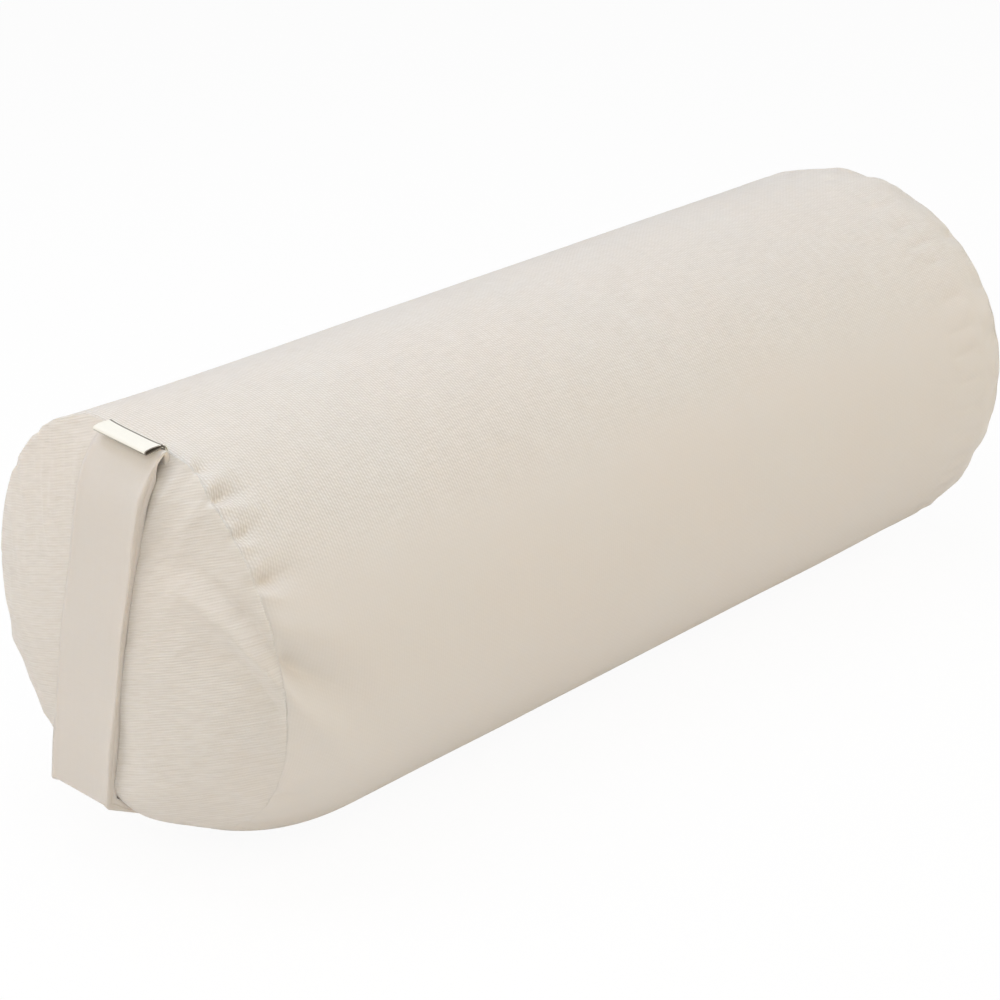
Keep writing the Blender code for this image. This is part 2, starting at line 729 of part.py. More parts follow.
def inner_bag_barrel(material):
    """Tube of the bag that holds the filling."""
    outer = bag_shoulder(NEAR_END) + bag_shoulder(FAR_END)[::-1]
    inner = offset_line(outer, BAG_WALL)
    rings = [ring(x, radius, dented=True) for x, radius in outer + inner[::-1]]
    return turned("inner_bag_barrel", rings, material, looped=True)


def inner_bag_end(name, end, material):
    """Round end of the bag."""
    rim = bag_rim(end)
    outer = bag_dome(end)
    inner = offset_line(outer, end.side * BAG_WALL)
    inner[0] = (outer[0][0], rim - BAG_WALL)
    inner[-1] = (outer[-1][0] - end.side * BAG_WALL, 0.0)
    rings = [ring(x, radius, rim, dented=True) for x, radius in outer + inner[::-1]]
    return turned(name, rings, material, looped=True)


def filling(material):
    """The loose filling as one solid, a small clearance away from the bag all round."""
    depth = BAG_WALL + FILLING_CLEARANCE
    near = bag_shoulder(NEAR_END)
    far = bag_shoulder(FAR_END)
    barrel = offset_line(near + far[::-1], depth)
    near_dome = offset_line(bag_dome(NEAR_END), -depth)
    far_dome = offset_line(bag_dome(FAR_END), depth)
    near_dome[-1] = (near_dome[-1][0], 0.0)
    far_dome[-1] = (far_dome[-1][0], 0.0)
    rings = []
    for x, radius in near_dome[:0:-1]:
        rings.append(ring(x, radius, bag_rim(NEAR_END) - depth, dented=True))
    for x, radius in barrel:
        rings.append(ring(x, radius, dented=True))
    for x, radius in far_dome[1:]:
        rings.append(ring(x, radius, bag_rim(FAR_END) - depth, dented=True))
    return turned("filling", rings, material, looped=False)


def main():
    """Model the bolster."""
    for thing in list(bpy.data.objects):
        bpy.data.objects.remove(thing)
    cover = finish("cover_twill", srgb(221, 214, 206), 0.9)
    strap = finish("strap_twill", srgb(216, 208, 197), 0.9)
    label = finish("label_tape", srgb(236, 230, 204), 0.8)
    tape = finish("zip_tape", srgb(226, 220, 210), 0.85)
    coil = finish("zip_coil", srgb(230, 224, 212), 0.45)
    metal = finish("zip_metal", srgb(178, 176, 172), 0.35, 1.0)
    bag = finish("bag_cloth", srgb(236, 233, 226), 0.9)
    fibre = finish("filling_fibre", srgb(240, 236, 226), 1.0)
    cover_barrel(cover)
    end_panel("near_end_panel", NEAR_END, cover)
    end_panel("far_end_panel", FAR_END, cover)
    carry_strap(strap)
    seam_label(label)
    zip_parts(tape, coil, metal)
    inner_bag_barrel(bag)
    inner_bag_end("inner_bag_near_end", NEAR_END, bag)
    inner_bag_end("inner_bag_far_end", FAR_END, bag)
    filling(fibre)


main()
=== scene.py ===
"""Round yoga bolster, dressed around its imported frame.

The cover is skinned from the same section as the frame, with folds and dents at its end seams.
The strap, the label, the zip and the cushion inside are classes of their own, and each finish
is a small class that lays out its own nodes.
"""

import logging
import math
from contextlib import contextmanager
from dataclasses import dataclass, field
from enum import Enum
from typing import ClassVar, Iterator, Sequence

import bmesh
import bpy
import numpy as np
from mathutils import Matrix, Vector
from mathutils.bvhtree import BVHTree


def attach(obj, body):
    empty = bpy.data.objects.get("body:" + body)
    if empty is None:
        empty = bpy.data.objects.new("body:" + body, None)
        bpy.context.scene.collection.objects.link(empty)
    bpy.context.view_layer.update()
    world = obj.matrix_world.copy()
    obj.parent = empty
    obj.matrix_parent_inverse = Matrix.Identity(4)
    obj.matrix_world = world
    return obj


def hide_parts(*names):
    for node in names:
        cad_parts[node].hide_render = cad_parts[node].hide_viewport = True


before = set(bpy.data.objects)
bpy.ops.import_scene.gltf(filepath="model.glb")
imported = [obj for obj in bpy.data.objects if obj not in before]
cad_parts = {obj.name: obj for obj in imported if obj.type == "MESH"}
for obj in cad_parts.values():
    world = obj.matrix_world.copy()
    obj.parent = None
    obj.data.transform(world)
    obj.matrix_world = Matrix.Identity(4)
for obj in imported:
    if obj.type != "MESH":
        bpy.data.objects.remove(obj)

LOG = logging.getLogger("bolster")
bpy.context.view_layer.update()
MM = 0.001
TURN = 2 * math.pi
QUARTER = math.pi / 2
ZIP_COSINE, ZIP_SINE = 0.898606, 0.438756
BAND_MAP = "band"

Wired = "Wire | float"
Grid = np.ndarray
Colour = tuple[float, float, float, float]
Places = Sequence[tuple[float, float]]


class Body(Enum):
    """Bodies of the frame that a piece can ride on."""

    CUSHION = "cushion"
    SLIDER = "slider"
    PULL = "pull"


class Slot(Enum):
    """Names of the material slots."""

    COVER = "cover_twill"
    STRAP = "strap_twill"
    LABEL = "label_tape"
    TAPE = "zip_tape"
    COIL = "zip_coil"
    METAL = "zip_metal"
    BAG = "bag_cloth"
    FIBRE = "filling_fibre"


class Lay(Enum):
    """How a cloth's yarns lie on its piece."""

    AROUND = "around the barrel"
    FLAT = "across a flat piece"


# Shader nodes


@dataclass(frozen=True)
class Wire:
    """A number that changes over a surface; sums with it add their Math nodes."""

    bench: "Bench"
    socket: bpy.types.NodeSocket

    def step(self, operation: str, *others: Wired) -> "Wire":
        """Add one Math node.

        Args:
            operation: the Math node's operation.
            others: its further operands.

        Returns:
            The node's value.
        """
        inputs = dict(enumerate((self, *others)))
        node = self.bench.node("ShaderNodeMath", {"operation": operation}, inputs)
        return Wire(self.bench, node.outputs[0])

    def __add__(self, other: Wired) -> "Wire":
        """Sum."""
        return self.step("ADD", other)

    def __sub__(self, other: Wired) -> "Wire":
        """Difference."""
        return self.step("SUBTRACT", other)

    def __rsub__(self, other: float) -> "Wire":
        """A number less this."""
        return (self * -1.0) + other

    def __mul__(self, other: Wired) -> "Wire":
        """Product."""
        return self.step("MULTIPLY", other)

    __radd__ = __add__
    __rmul__ = __mul__

    def wave(self) -> "Wire":
        """Cosine of this many turns, from -1 to 1."""
        return (self * TURN).step("COSINE")

    def ripple(self) -> "Wire":
        """Cosine of this many turns, from 0 to 1."""
        return self.wave() * 0.5 + 0.5

    def within(self, low: float, high: float) -> "Wire":
        """Add a smooth step.

        Args:
            low: where the share is 0.
            high: where the share is 1.

        Returns:
            The share.
        """
        node = self.bench.node("ShaderNodeMapRange", {"interpolation_type": "SMOOTHSTEP"},
                               {"Value": self, "From Min": low, "From Max": high})
        return Wire(self.bench, node.outputs["Result"])


class Bench:
    """Lays out the nodes of one material, or of the surroundings."""

    def __init__(self, holder: bpy.types.Material | bpy.types.World) -> None:
        """Clear the nodes of a material or world.

        Args:
            holder: the material or world.
        """
        holder.use_nodes = True
        self.tree = holder.node_tree
        self.tree.nodes.clear()

    def node(self, kind: str, settings: dict | None = None,
             inputs: dict | None = None) -> bpy.types.Node:
        """Add a node.

        Args:
            kind: the node's type.
            settings: its own settings, set first.
            inputs: value or link of each socket, by name or number.

        Returns:
            The node.
        """
        node = self.tree.nodes.new(kind)
        for key, value in (settings or {}).items():
            setattr(node, key, value)
        for key, value in (inputs or {}).items():
            value = value.socket if isinstance(value, Wire) else value
            if isinstance(value, bpy.types.NodeSocket):
                self.tree.links.new(value, node.inputs[key])
            else:
                node.inputs[key].default_value = value
        return node

    def parts(self, spot: bpy.types.NodeSocket) -> tuple[Wire, Wire, Wire]:
        """Split a vector into its three numbers."""
        split = self.node("ShaderNodeSeparateXYZ", None, {0: spot})
        return tuple(Wire(self, output) for output in split.outputs)

    def spot(self) -> bpy.types.NodeSocket:
        """Place of the surface in metres, in the frame of the whole bolster."""
        return self.node("ShaderNodeTexCoord").outputs["Object"]

    def place(self) -> tuple[Wire, Wire, Wire]:
        """Place of the surface in millimetres, as three numbers."""
        return tuple(part * (1 / MM) for part in self.parts(self.spot()))

    def vector(self, *parts: Wired) -> bpy.types.NodeSocket:
        """Three numbers as one vector."""
        return self.node("ShaderNodeCombineXYZ", None, dict(enumerate(parts))).outputs[0]

    def noise(self, scale: float, detail: float = 2.0, rough: float = 0.5,
              spot: bpy.types.NodeSocket | None = None) -> Wire:
        """Cloudy noise.

        Args:
            scale: cells per metre, or per unit of the given spot.
            detail: octaves.
            rough: strength of the finer octaves.
            spot: where it is read, the surface's own place if not given.

        Returns:
            Noise from 0 to 1, about 0.5.
        """
        spot = self.spot() if spot is None else spot
        inputs = {"Vector": spot, "Scale": scale, "Detail": detail, "Roughness": rough}
        return Wire(self, self.node("ShaderNodeTexNoise", None, inputs).outputs[0])

    def mix(self, share: Wired, first: object, second: object) -> bpy.types.NodeSocket:
        """Blend two colours by a share."""
        inputs = {0: share, 6: first, 7: second}
        return self.node("ShaderNodeMix", {"data_type": "RGBA"}, inputs).outputs[2]

    def bump(self, height: Wire, depth: float, strength: float = 1.0) -> bpy.types.NodeSocket:
        """Relief of a height from 0 to 1.

        Args:
            height: the relief.
            depth: how deep it is, in metres.
            strength: how fully it shows.

        Returns:
            The bent normal.
        """
        inputs = {"Height": height, "Distance": depth, "Strength": strength}
        return self.node("ShaderNodeBump", None, inputs).outputs[0]

    def surface(self, **inputs: object) -> None:
        """Close a material with a Principled shader.

        Args:
            inputs: its sockets, with spaces written as underscores.
        """
        named = {key.replace("_", " "): value for key, value in inputs.items()}
        settings = {"subsurface_method": "BURLEY"}
        self.close("Material", self.node("ShaderNodeBsdfPrincipled", settings, named))

    def close(self, kind: str, shader: bpy.types.Node) -> None:
        """Lead a shader to the output of a material or of the world."""
        self.node("ShaderNodeOutput" + kind, None, {"Surface": shader.outputs[0]})

    def seen(self) -> Wire:
        """Tell rays that show the plain background from rays that light the bolster.

        Returns:
            1 for a camera, glossy or transmission ray, 0 for any other.
        """
        path = self.node("ShaderNodeLightPath")
        found = Wire(self, path.outputs["Is Camera Ray"])
        for kind in ("Is Glossy Ray", "Is Transmission Ray"):
            found = found.step("MAXIMUM", path.outputs[kind])
        return found

    def blend(self, share: Wire, first: bpy.types.Node, second: bpy.types.Node) -> bpy.types.Node:
        """Blend two shaders by a share."""
        inputs = {0: share, 1: first.outputs[0], 2: second.outputs[0]}
        return self.node("ShaderNodeMixShader", None, inputs)


def screen(red: float, green: float, blue: float) -> Colour:
    """Turn a screen's 8-bit colour into a linear one.

    Args:
        red: its red.
        green: its green.
        blue: its blue.

    Returns:
        The linear colour.
    """
    shares = (value / 255 for value in (red, green, blue))
    curve = (s / 12.92 if s <= 0.04045 else ((s + 0.055) / 1.055) ** 2.4 for s in shares)
    return (*curve, 1.0)


# Finishes


@dataclass(frozen=True)
class Finish:
    """A material of one main colour, laid out by each finish in its own way."""

    name: str
    colour: Colour

    def make(self) -> bpy.types.Material:
        """Make the material.

        Returns:
            The material.
        """
        material = bpy.data.materials.new(self.name)
        self.lay_out(Bench(material))
        return material

    def lay_out(self, bench: Bench) -> None:
        """Lay out the nodes on an empty bench."""
        raise NotImplementedError


@dataclass(frozen=True)
class Grating:
    """One set of parallel ridges of a weave, in ridges per millimetre."""

    along: float
    across: float
    weight: float


@dataclass(frozen=True)
class ClothFinish(Finish):
    """Woven cotton: crossing ridges, uneven yarns, soft mottling and a weave that fades lower down.
    """

    lay: Lay
    groove: Colour
    gratings: tuple[Grating, ...]
    depth: float = 0.0003
    contrast: float = 0.5
    yarn_contrast: float = 0.5
    tuft_contrast: float = 0.5
    cool: Colour = screen(237, 235, 230)
    warm: Colour = screen(241, 232, 223)
    mottling: float = 0.35
    roughness: float = 0.92
    sheen: float = 0.15
    radius: float = 115.0
    centre: float = 113.1
    turn: float = 0.0
    weft_scale: tuple[float, float] = (0.085, 0.8)
    warp_scale: tuple[float, float] = (0.64, 0.04)
    warp_share: float = 0.5
    ridge: float = 0.3
    # Weave colour contrast and relief: full above the higher of these heights, this share below the
    # lower.
    weave_low_share: float = 1.0
    weave_fade_heights: tuple[float, float] = (158.0, 205.0)
    sway: float = 1.1
    sway_scale: float = 24.0
    tuft_scale: float = 2600.0
    cloud_scale: float = 13.0
    matt_scale: float = 60.0
    bleed: float = 0.45
    bleed_reach: float = 0.004
    bleed_colours: tuple[float, float, float] = (1.0, 0.75, 0.5)

    def threads(self, bench: Bench) -> tuple[Wire, Wire]:
        """Measure the surface in the directions of the yarns.

        Args:
            bench: the material's bench.

        Returns:
            Distances along and across the yarns, in millimetres.
        """
        x, y, z = bench.place()
        if self.lay is Lay.AROUND:
            return x, (z - self.centre).step("ARCTAN2", y) * self.radius
        cosine, sine = math.cos(self.turn), math.sin(self.turn)
        return y * cosine + z * sine, z * cosine - y * sine

    def weave(self, bench: Bench, along: Wire, across: Wire) -> Wire:
        """Add up the ridges.

        Args:
            bench: the material's bench.
            along: distance along the yarns.
            across: distance across them.

        Returns:
            Relief from about -1 to 1.
        """
        sway = (bench.noise(self.sway_scale, 1.0) - 0.5) * self.sway
        first, second = along + sway, across + sway * 0.7
        ridges = [(first * one.along + second * one.across).wave() * one.weight
                  for one in self.gratings]
        return sum(ridges[1:], ridges[0])

    def yarns(self, bench: Bench, along: Wire, across: Wire) -> Wire:
        """Find the thick and thin places of single yarns.

        Args:
            bench: the material's bench.
            along: distance along the yarns.
            across: distance across them.

        Returns:
            Thickness from 0 to 1.
        """
        runs = []
        for scale, start in ((self.weft_scale, 0.0), (self.warp_scale, 7.0)):
            spot = bench.vector(along * scale[0], across * scale[1], start)
            runs.append(bench.noise(1.0, 1.0, 0.5, spot))
        return runs[0] * (1 - self.warp_share) + runs[1] * self.warp_share

    def lay_out(self, bench: Bench) -> None:
        """Lay out the cloth.

        Args:
            bench: an empty bench.
        """
        along, across = self.threads(bench)
        relief = self.weave(bench, along, across)
        yarns = self.yarns(bench, along, across)
        tufts = bench.noise(self.tuft_scale, 2.0, 0.6)
        # The weave's colour contrast and bump fade towards the bottom of the piece.
        high = bench.place()[2].within(*self.weave_fade_heights)
        high = high * (1 - self.weave_low_share) + self.weave_low_share
        shade = relief * (0.5 * self.contrast) + (yarns - 0.5) * (2 * self.yarn_contrast)
        shade = (shade + (tufts - 0.5) * self.tuft_contrast) * high
        cloud = bench.noise(self.cloud_scale, 3.0, 0.55).within(0.3, 0.7)
        base = bench.mix(self.mottling, self.colour, bench.mix(cloud, self.cool, self.warm))
        rough = bench.noise(self.matt_scale) * 0.1 + (self.roughness - 0.05)
        height = (relief * self.ridge + yarns * 0.5 + tufts * 0.25) * high
        bench.surface(
            Base_Color=bench.mix(0.5 - shade * 0.5, base, self.groove), Roughness=rough,
            Specular_IOR_Level=0.25, Sheen_Weight=self.sheen, Sheen_Roughness=0.6,
            Subsurface_Weight=self.bleed, Subsurface_Scale=self.bleed_reach,
            Subsurface_Radius=self.bleed_colours, Normal=bench.bump(height, self.depth),
        )


@dataclass(frozen=True)
class LabelFinish(Finish):
    """Bare satin tape with narrow lines of painted shade under its fold, where it enters the seam
    and inside its open loop.

    Lines lie at shares of the way along the tape.
    """

    # Dark colour of the painted shade lines: under the fold, at the seam and inside the loop.
    edge: Colour
    shadow: Colour = screen(198, 186, 150)
    fold: float = 0.471
    fold_line: float = 0.0135
    seam_line: float = 0.236
    seam_width: float = 0.022
    blur: float = 0.004
    picks: float = 95.0
    ends: float = 150.0
    dark: float = 0.85
    # Noise that breaks the painted shadow under the fold into gaps and fades it across the tape.
    gap_scale: tuple[float, float] = (22.0, 3.0)
    most_gap: float = 0.7

    def lay_out(self, bench: Bench) -> None:
        """Lay out the tape over a band's map.

        Args:
            bench: an empty bench.
        """
        spread = bench.node("ShaderNodeUVMap", {"uv_map": BAND_MAP}).outputs[0]
        route, across, _ = bench.parts(spread)
        picks, ends = (route * self.picks).ripple(), (across * self.ends).ripple()
        soft = bench.noise(900.0)
        away = (route - self.fold).step("ABSOLUTE")
        spot = bench.vector(across * self.gap_scale[0], route * self.gap_scale[1], 2.0)
        # Painted shadow under the fold, broken by noise and fading across the tape.
        wear_and_shade_gaps = bench.noise(1.0, 2.0, 0.6, spot)
        wear_and_shade_gaps = (wear_and_shade_gaps * 0.4 + across * 0.45).step("MINIMUM", self.most_gap)
        line = away.within(self.fold_line + self.blur, self.fold_line) * (1 - wear_and_shade_gaps)
        # Painted shade where the tape goes into the seam.
        half = self.seam_width / 2
        seam = (away - self.seam_line).step("ABSOLUTE").within(half + self.blur, half)
        # Painted shade inside the open loop near the fold and at one cut end.
        inside = across.within(1.0, 1.01).step("MAXIMUM", across.within(0.014, 0.008))
        inside = inside * away.within(self.seam_line - 0.01, self.seam_line - 0.05)
        line = line.step("MAXIMUM", seam * self.dark).step("MAXIMUM", inside * self.dark)
        satin = bench.mix((picks * ends) * 0.12 + soft * 0.06, self.colour, self.shadow)
        # The satin takes the dark painted shade colour along these lines.
        bench.surface(Base_Color=bench.mix(line, satin, self.edge), Roughness=soft * 0.15 + 0.5,
                      Specular_IOR_Level=0.4,
                      Normal=bench.bump(picks * 0.5 + ends * 0.3, 0.00005))


@dataclass(frozen=True)
class TapeFinish(Finish):
    """Herringbone zip tape."""

    groove: Colour
    rib: float = 0.9
    pick: float = 1.9
    zigzag: float = 0.55
    slant: float = 1.3

    def lay_out(self, bench: Bench) -> None:
        """Lay out the tape.

        Args:
            bench: an empty bench.
        """
        x, y, z = bench.place()
        across = z * ZIP_COSINE - y * ZIP_SINE
        zigzag = (across * self.zigzag).step("PINGPONG", 1.0) * self.slant
        ribs = (x * self.rib + zigzag).ripple()
        picks = (x * self.pick).ripple()
        fluff = bench.noise(1500.0)
        share = ribs * 0.45 + picks * 0.2 + (fluff - 0.5) * 0.4
        bench.surface(Base_Color=bench.mix(share, self.groove, self.colour),
                      Roughness=fluff * 0.1 + 0.8, Specular_IOR_Level=0.3,
                      Normal=bench.bump(ribs * 0.6 + picks * 0.4, 0.00009))


@dataclass(frozen=True)
class CoilFinish(Finish):
    """Off-white nylon, a little glossy and uneven."""

    shadow: Colour = screen(208, 200, 184)

    def lay_out(self, bench: Bench) -> None:
        """Lay out the nylon.

        Args:
            bench: an empty bench.
        """
        cloud = bench.noise(140.0, 3.0)
        bench.surface(Base_Color=bench.mix(cloud * 0.5, self.colour, self.shadow),
                      Roughness=cloud * 0.2 + 0.28,
                      Normal=bench.bump(bench.noise(3000.0), 0.00002))


@dataclass(frozen=True)
class MetalFinish(Finish):
    """Tumbled, plated zip metal with fine scratches and worn spots."""

    wear_and_shade_gaps: Colour
    scratch_scale: tuple[float, float] = (0.35, 6.0)

    def lay_out(self, bench: Bench) -> None:
        """Lay out the plating.

        Args:
            bench: an empty bench.
        """
        x, y, z = bench.place()
        long, fine = self.scratch_scale
        scratches = bench.noise(1.0, 3.0, 0.6, bench.vector(x * long, y * fine, z * fine))
        cloud = bench.noise(260.0, 3.0)
        bench.surface(Base_Color=bench.mix(cloud.within(0.45, 0.75), self.colour, self.wear_and_shade_gaps),
                      Metallic=1.0, Roughness=scratches * 0.22 + cloud * 0.12 + 0.16,
                      Normal=bench.bump(scratches * 0.6 + cloud * 0.4, 0.00003, 0.6))


@dataclass(frozen=True)
class ThreadFinish(Finish):
    """Plied sewing thread."""

    shadow: Colour = screen(196, 184, 164)
    ply: tuple[float, float] = (2.6, 1.7)

    def lay_out(self, bench: Bench) -> None:
        """Lay out the thread.

        Args:
            bench: an empty bench.
        """
        x, y, z = bench.place()
        along, round_it = self.ply
        ply = (x * along + y * round_it + z * round_it).ripple()
        bench.surface(Base_Color=bench.mix(ply * 0.35, self.colour, self.shadow),
                      Roughness=ply * 0.1 + 0.6, Normal=bench.bump(ply, 0.00006))


@dataclass(frozen=True)
class FibreFinish(Finish):
    """Matted loose fibre."""

    shadow: Colour = screen(206, 196, 176)

    def lay_out(self, bench: Bench) -> None:
        """Lay out the fibre.

        Args:
            bench: an empty bench.
        """
        strands = bench.noise(420.0, 5.0, 0.7)
        lumps = bench.noise(40.0, 3.0)
        colour = bench.mix(strands * 0.6 + lumps * 0.3, self.shadow, self.colour)
        bench.surface(Base_Color=colour, Roughness=lumps * 0.05 + 0.93, Sheen_Weight=0.3,
                      Normal=bench.bump(strands * 0.6 + lumps * 0.4, 0.0012))


@dataclass(frozen=True)
class FloorFinish(Finish):
    """Plain white floor that still takes a soft shadow."""

    lift: float = 0.94

    def lay_out(self, bench: Bench) -> None:
        """Lay out the floor.

        Args:
            bench: an empty bench.
        """
        matt = bench.node("ShaderNodeBsdfDiffuse", None, {"Color": self.colour})
        glow = bench.node("ShaderNodeEmission", None, {"Strength": 1.0})
        bench.close("Material", bench.blend(bench.seen() * self.lift, matt, glow))


BARREL_TWILL = (Grating(0.309, -0.3903, 0.3), Grating(0.333, 0.4290, 0.1),
                Grating(0.642, 0.0387, 0.6))
PANEL_TWILL = (Grating(0.0, 0.781, 0.6), Grating(0.66, 0.05, 0.08))
STRAP_TWILL = (Grating(0.55, 0.9, 0.4), Grating(0.9, -0.55, 0.3))
LINING_WEAVE = (Grating(0.0, 1.3, 0.5), Grating(1.3, 0.0, 0.5))


class Finishes:
    """Every material of the bolster, made once."""

    def __init__(self) -> None:
        """Make the materials."""
        cloth, groove = screen(240, 236, 230), screen(199, 190, 178)
        bag, bag_groove = screen(236, 232, 224), screen(220, 214, 202)
        self.barrel = ClothFinish("barrel_twill", cloth, Lay.AROUND, groove, BARREL_TWILL,
                                  contrast=1.15, warp_share=0.35, weave_low_share=0.12,
                                  ridge=0.42).make()
        self.panel = ClothFinish("panel_twill", cloth, Lay.FLAT, groove, PANEL_TWILL,
                                 contrast=0.4, yarn_contrast=0.45, turn=math.radians(-19.6),
                                 warp_share=0.08, ridge=0.22, sway=0.6).make()
        self.strap = ClothFinish("strap_cotton", screen(219, 214, 207), Lay.FLAT,
                                 screen(207, 199, 190), STRAP_TWILL, depth=0.00005,
                                 contrast=0.18, yarn_contrast=0.2, mottling=0.25).make()
        self.lining = ClothFinish("lining_cotton", bag, Lay.AROUND, bag_groove, LINING_WEAVE,
                                  mottling=0.2).make()
        self.lining_end = ClothFinish("lining_end_cotton", bag, Lay.FLAT, bag_groove,
                                      LINING_WEAVE, mottling=0.2).make()
        # The label's second colour is the painted shade of its fold, seam and loop lines.
        self.label = LabelFinish("label_satin", screen(242, 240, 231), screen(78, 64, 50)).make()
        self.tape = TapeFinish("tape_herringbone", screen(228, 221, 209),
                               screen(198, 189, 174)).make()
        self.coil = CoilFinish("coil_nylon", screen(229, 223, 210)).make()
        self.metal = MetalFinish("zip_plating", screen(190, 188, 184),
                                 screen(150, 147, 141)).make()
        self.thread = ThreadFinish("cotton_thread", screen(231, 225, 213)).make()
        self.fibre = FibreFinish("loose_fibre", screen(238, 233, 220)).make()


# Shapes shared by the pieces


def smooth(value: Grid) -> Grid:
    """Smooth step from 0 to 1 of values that are clipped to that range."""
    share = np.clip(value, 0, 1)
    return share * share * (3 - 2 * share)


def turned(angle: Grid, start: float) -> Grid:
    """Turn from a start to each angle, at most half a turn either way."""
    return np.angle(np.exp(1j * (angle - start)))


def beyond(distance: Grid, reach: float) -> Grid:
    """Fading share of a distance from a seam: 1 at the seam, less with every reach."""
    return np.exp(-np.clip(distance, 0, None) / reach)


@dataclass(frozen=True)
class Section:
    """Outline of the stuffed barrel: nearly a circle, a little tall, and pressed flat below."""

    radius: float = 0.115
    stretch_up: float = 1.01
    rest_sag: float = 0.003
    rest_blend: float = 0.06

    @property
    def rest_depth(self) -> float:
        """Distance from the centre down to the flat, before the stretch."""
        return self.radius - self.rest_sag

    @property
    def centre_height(self) -> float:
        """Height of the section's centre."""
        return self.rest_depth * self.stretch_up

    @property
    def blend_down(self) -> float:
        """How far below the centre the blend arcs are centred."""
        return self.rest_depth - self.rest_blend

    @property
    def blend_across(self) -> float:
        """How far to each side the blend arcs are centred."""
        return math.sqrt((self.radius - self.rest_blend) ** 2 - self.blend_down**2)

    def reach(self, angle: Grid, inset: Grid | float) -> Grid:
        """Distance from the centre to the outline, before the stretch.

        Args:
            angle: angles from +Y towards +Z.
            inset: how far inside the outline, evenly.

        Returns:
            The distances.
        """
        down = -np.sin(angle)
        across = np.abs(np.cos(angle))
        floor = self.rest_depth - inset
        middle = across * self.blend_across + down * self.blend_down
        blend = self.rest_blend - inset
        inside = blend**2 - self.blend_across**2 - self.blend_down**2 + middle**2
        bent = middle + np.sqrt(np.maximum(inside, 0))
        flat = floor / np.maximum(down, 1e-6)
        lower = np.where(floor * across <= self.blend_across * down, flat, bent)
        upper = down * self.blend_across <= across * self.blend_down
        return np.where(upper, self.radius - inset, lower)

    def place(self, angle: Grid, inset: Grid | float,
              share: Grid | float = 1.0) -> tuple[Grid, Grid]:
        """Points (y, z) of the outline, scaled about its centre by a share."""
        reach = self.reach(angle, inset) * share
        return reach * np.cos(angle), self.centre_height + reach * np.sin(angle) * self.stretch_up


@dataclass(frozen=True)
class End:
    """One end of the bolster: its side, its shoulder's length and drop, and its crown."""

    side: int
    shoulder: float
    drop: float
    crown: float
    power: float
    edge: float


@dataclass(frozen=True)
class Pucker:
    """A dent in the gathered cloth beside an end seam, with banks and a fine crease.

    The angle is in degrees and the other sizes are in millimetres: how deep it is, how wide,
    how far it runs from the seam, and how far it drifts round the barrel on the way.
    """

    FLARE: ClassVar[float] = 0.7
    VALLEY: ClassVar[tuple[float, float]] = (0.75, 1.7)
    BANK: ClassVar[tuple[float, float, float]] = (0.24, 1.9, 0.8)
    REACH_POWER: ClassVar[float] = 1.6
    ONSET: ClassVar[tuple[float, float]] = (0.65, 1.8)
    CREASE: ClassVar[tuple[float, float, float, float]] = (0.5, 2.4, 1.3, 7)
    CREASE_ONSET: ClassVar[tuple[float, float]] = (0.7, 1.5)

    angle: float
    depth: float
    width: float
    length: float
    drift: float = 0.0

    def relief(self, turn: Grid, away: Grid) -> Grid:
        """Relief of the dent.

        Args:
            turn: distance round the barrel from the dent's start, in millimetres.
            away: distance from the seam, in millimetres.

        Returns:
            Relief in millimetres, negative in the dent.
        """
        side = turn - self.drift * np.clip(away / self.length, 0, 1.5)
        spread = self.width * (1 + self.FLARE * np.clip(away / self.length, 0, 2))
        near = np.abs(side) / spread
        valley = self.VALLEY[0] * np.exp(-near ** self.VALLEY[1])
        bank, place, wide = self.BANK
        banks = np.exp(-((near - place) / wide) ** 2)
        reach = np.exp(-(np.clip(away, 0, None) / self.length) ** self.REACH_POWER)
        onset = 1 - self.ONSET[0] * beyond(away, self.ONSET[1])
        share, narrow, power, long = self.CREASE
        crease = share * np.exp(-((narrow * near) ** power)) * beyond(away, long)
        crease = crease * (1 - self.CREASE_ONSET[0] * beyond(away, self.CREASE_ONSET[1]))
        return self.depth * reach * onset * (bank * banks - valley - crease)


def even_bumps(seed: int, count: int, angle: Grid, along: Grid, longest: float) -> Grid:
    """Gentle unevenness of stuffed cloth, which closes around the barrel.

    Args:
        seed: start of the random draws.
        count: number of waves.
        angle: angle of each point.
        along: distance of each point along the barrel, in metres.
        longest: longest wave along the barrel, in metres.

    Returns:
        Heights of about -1 to 1.
    """
    most_around, overtone = 9, 0.3
    draws = np.random.default_rng(seed)
    total = np.zeros(np.broadcast(angle, along).shape)
    for _ in range(count):
        around = draws.integers(1, most_around)
        length = longest * draws.uniform(0.35, 1.0)
        phase = draws.uniform(0, TURN, 2)
        weight = draws.uniform(0.5, 1.0)
        total = total + weight * np.cos(around * angle + phase[0] + TURN * along / length)
        total = total + overtone * weight * np.sin(around * 2 * angle + phase[1])
    return total / (count * 0.6)


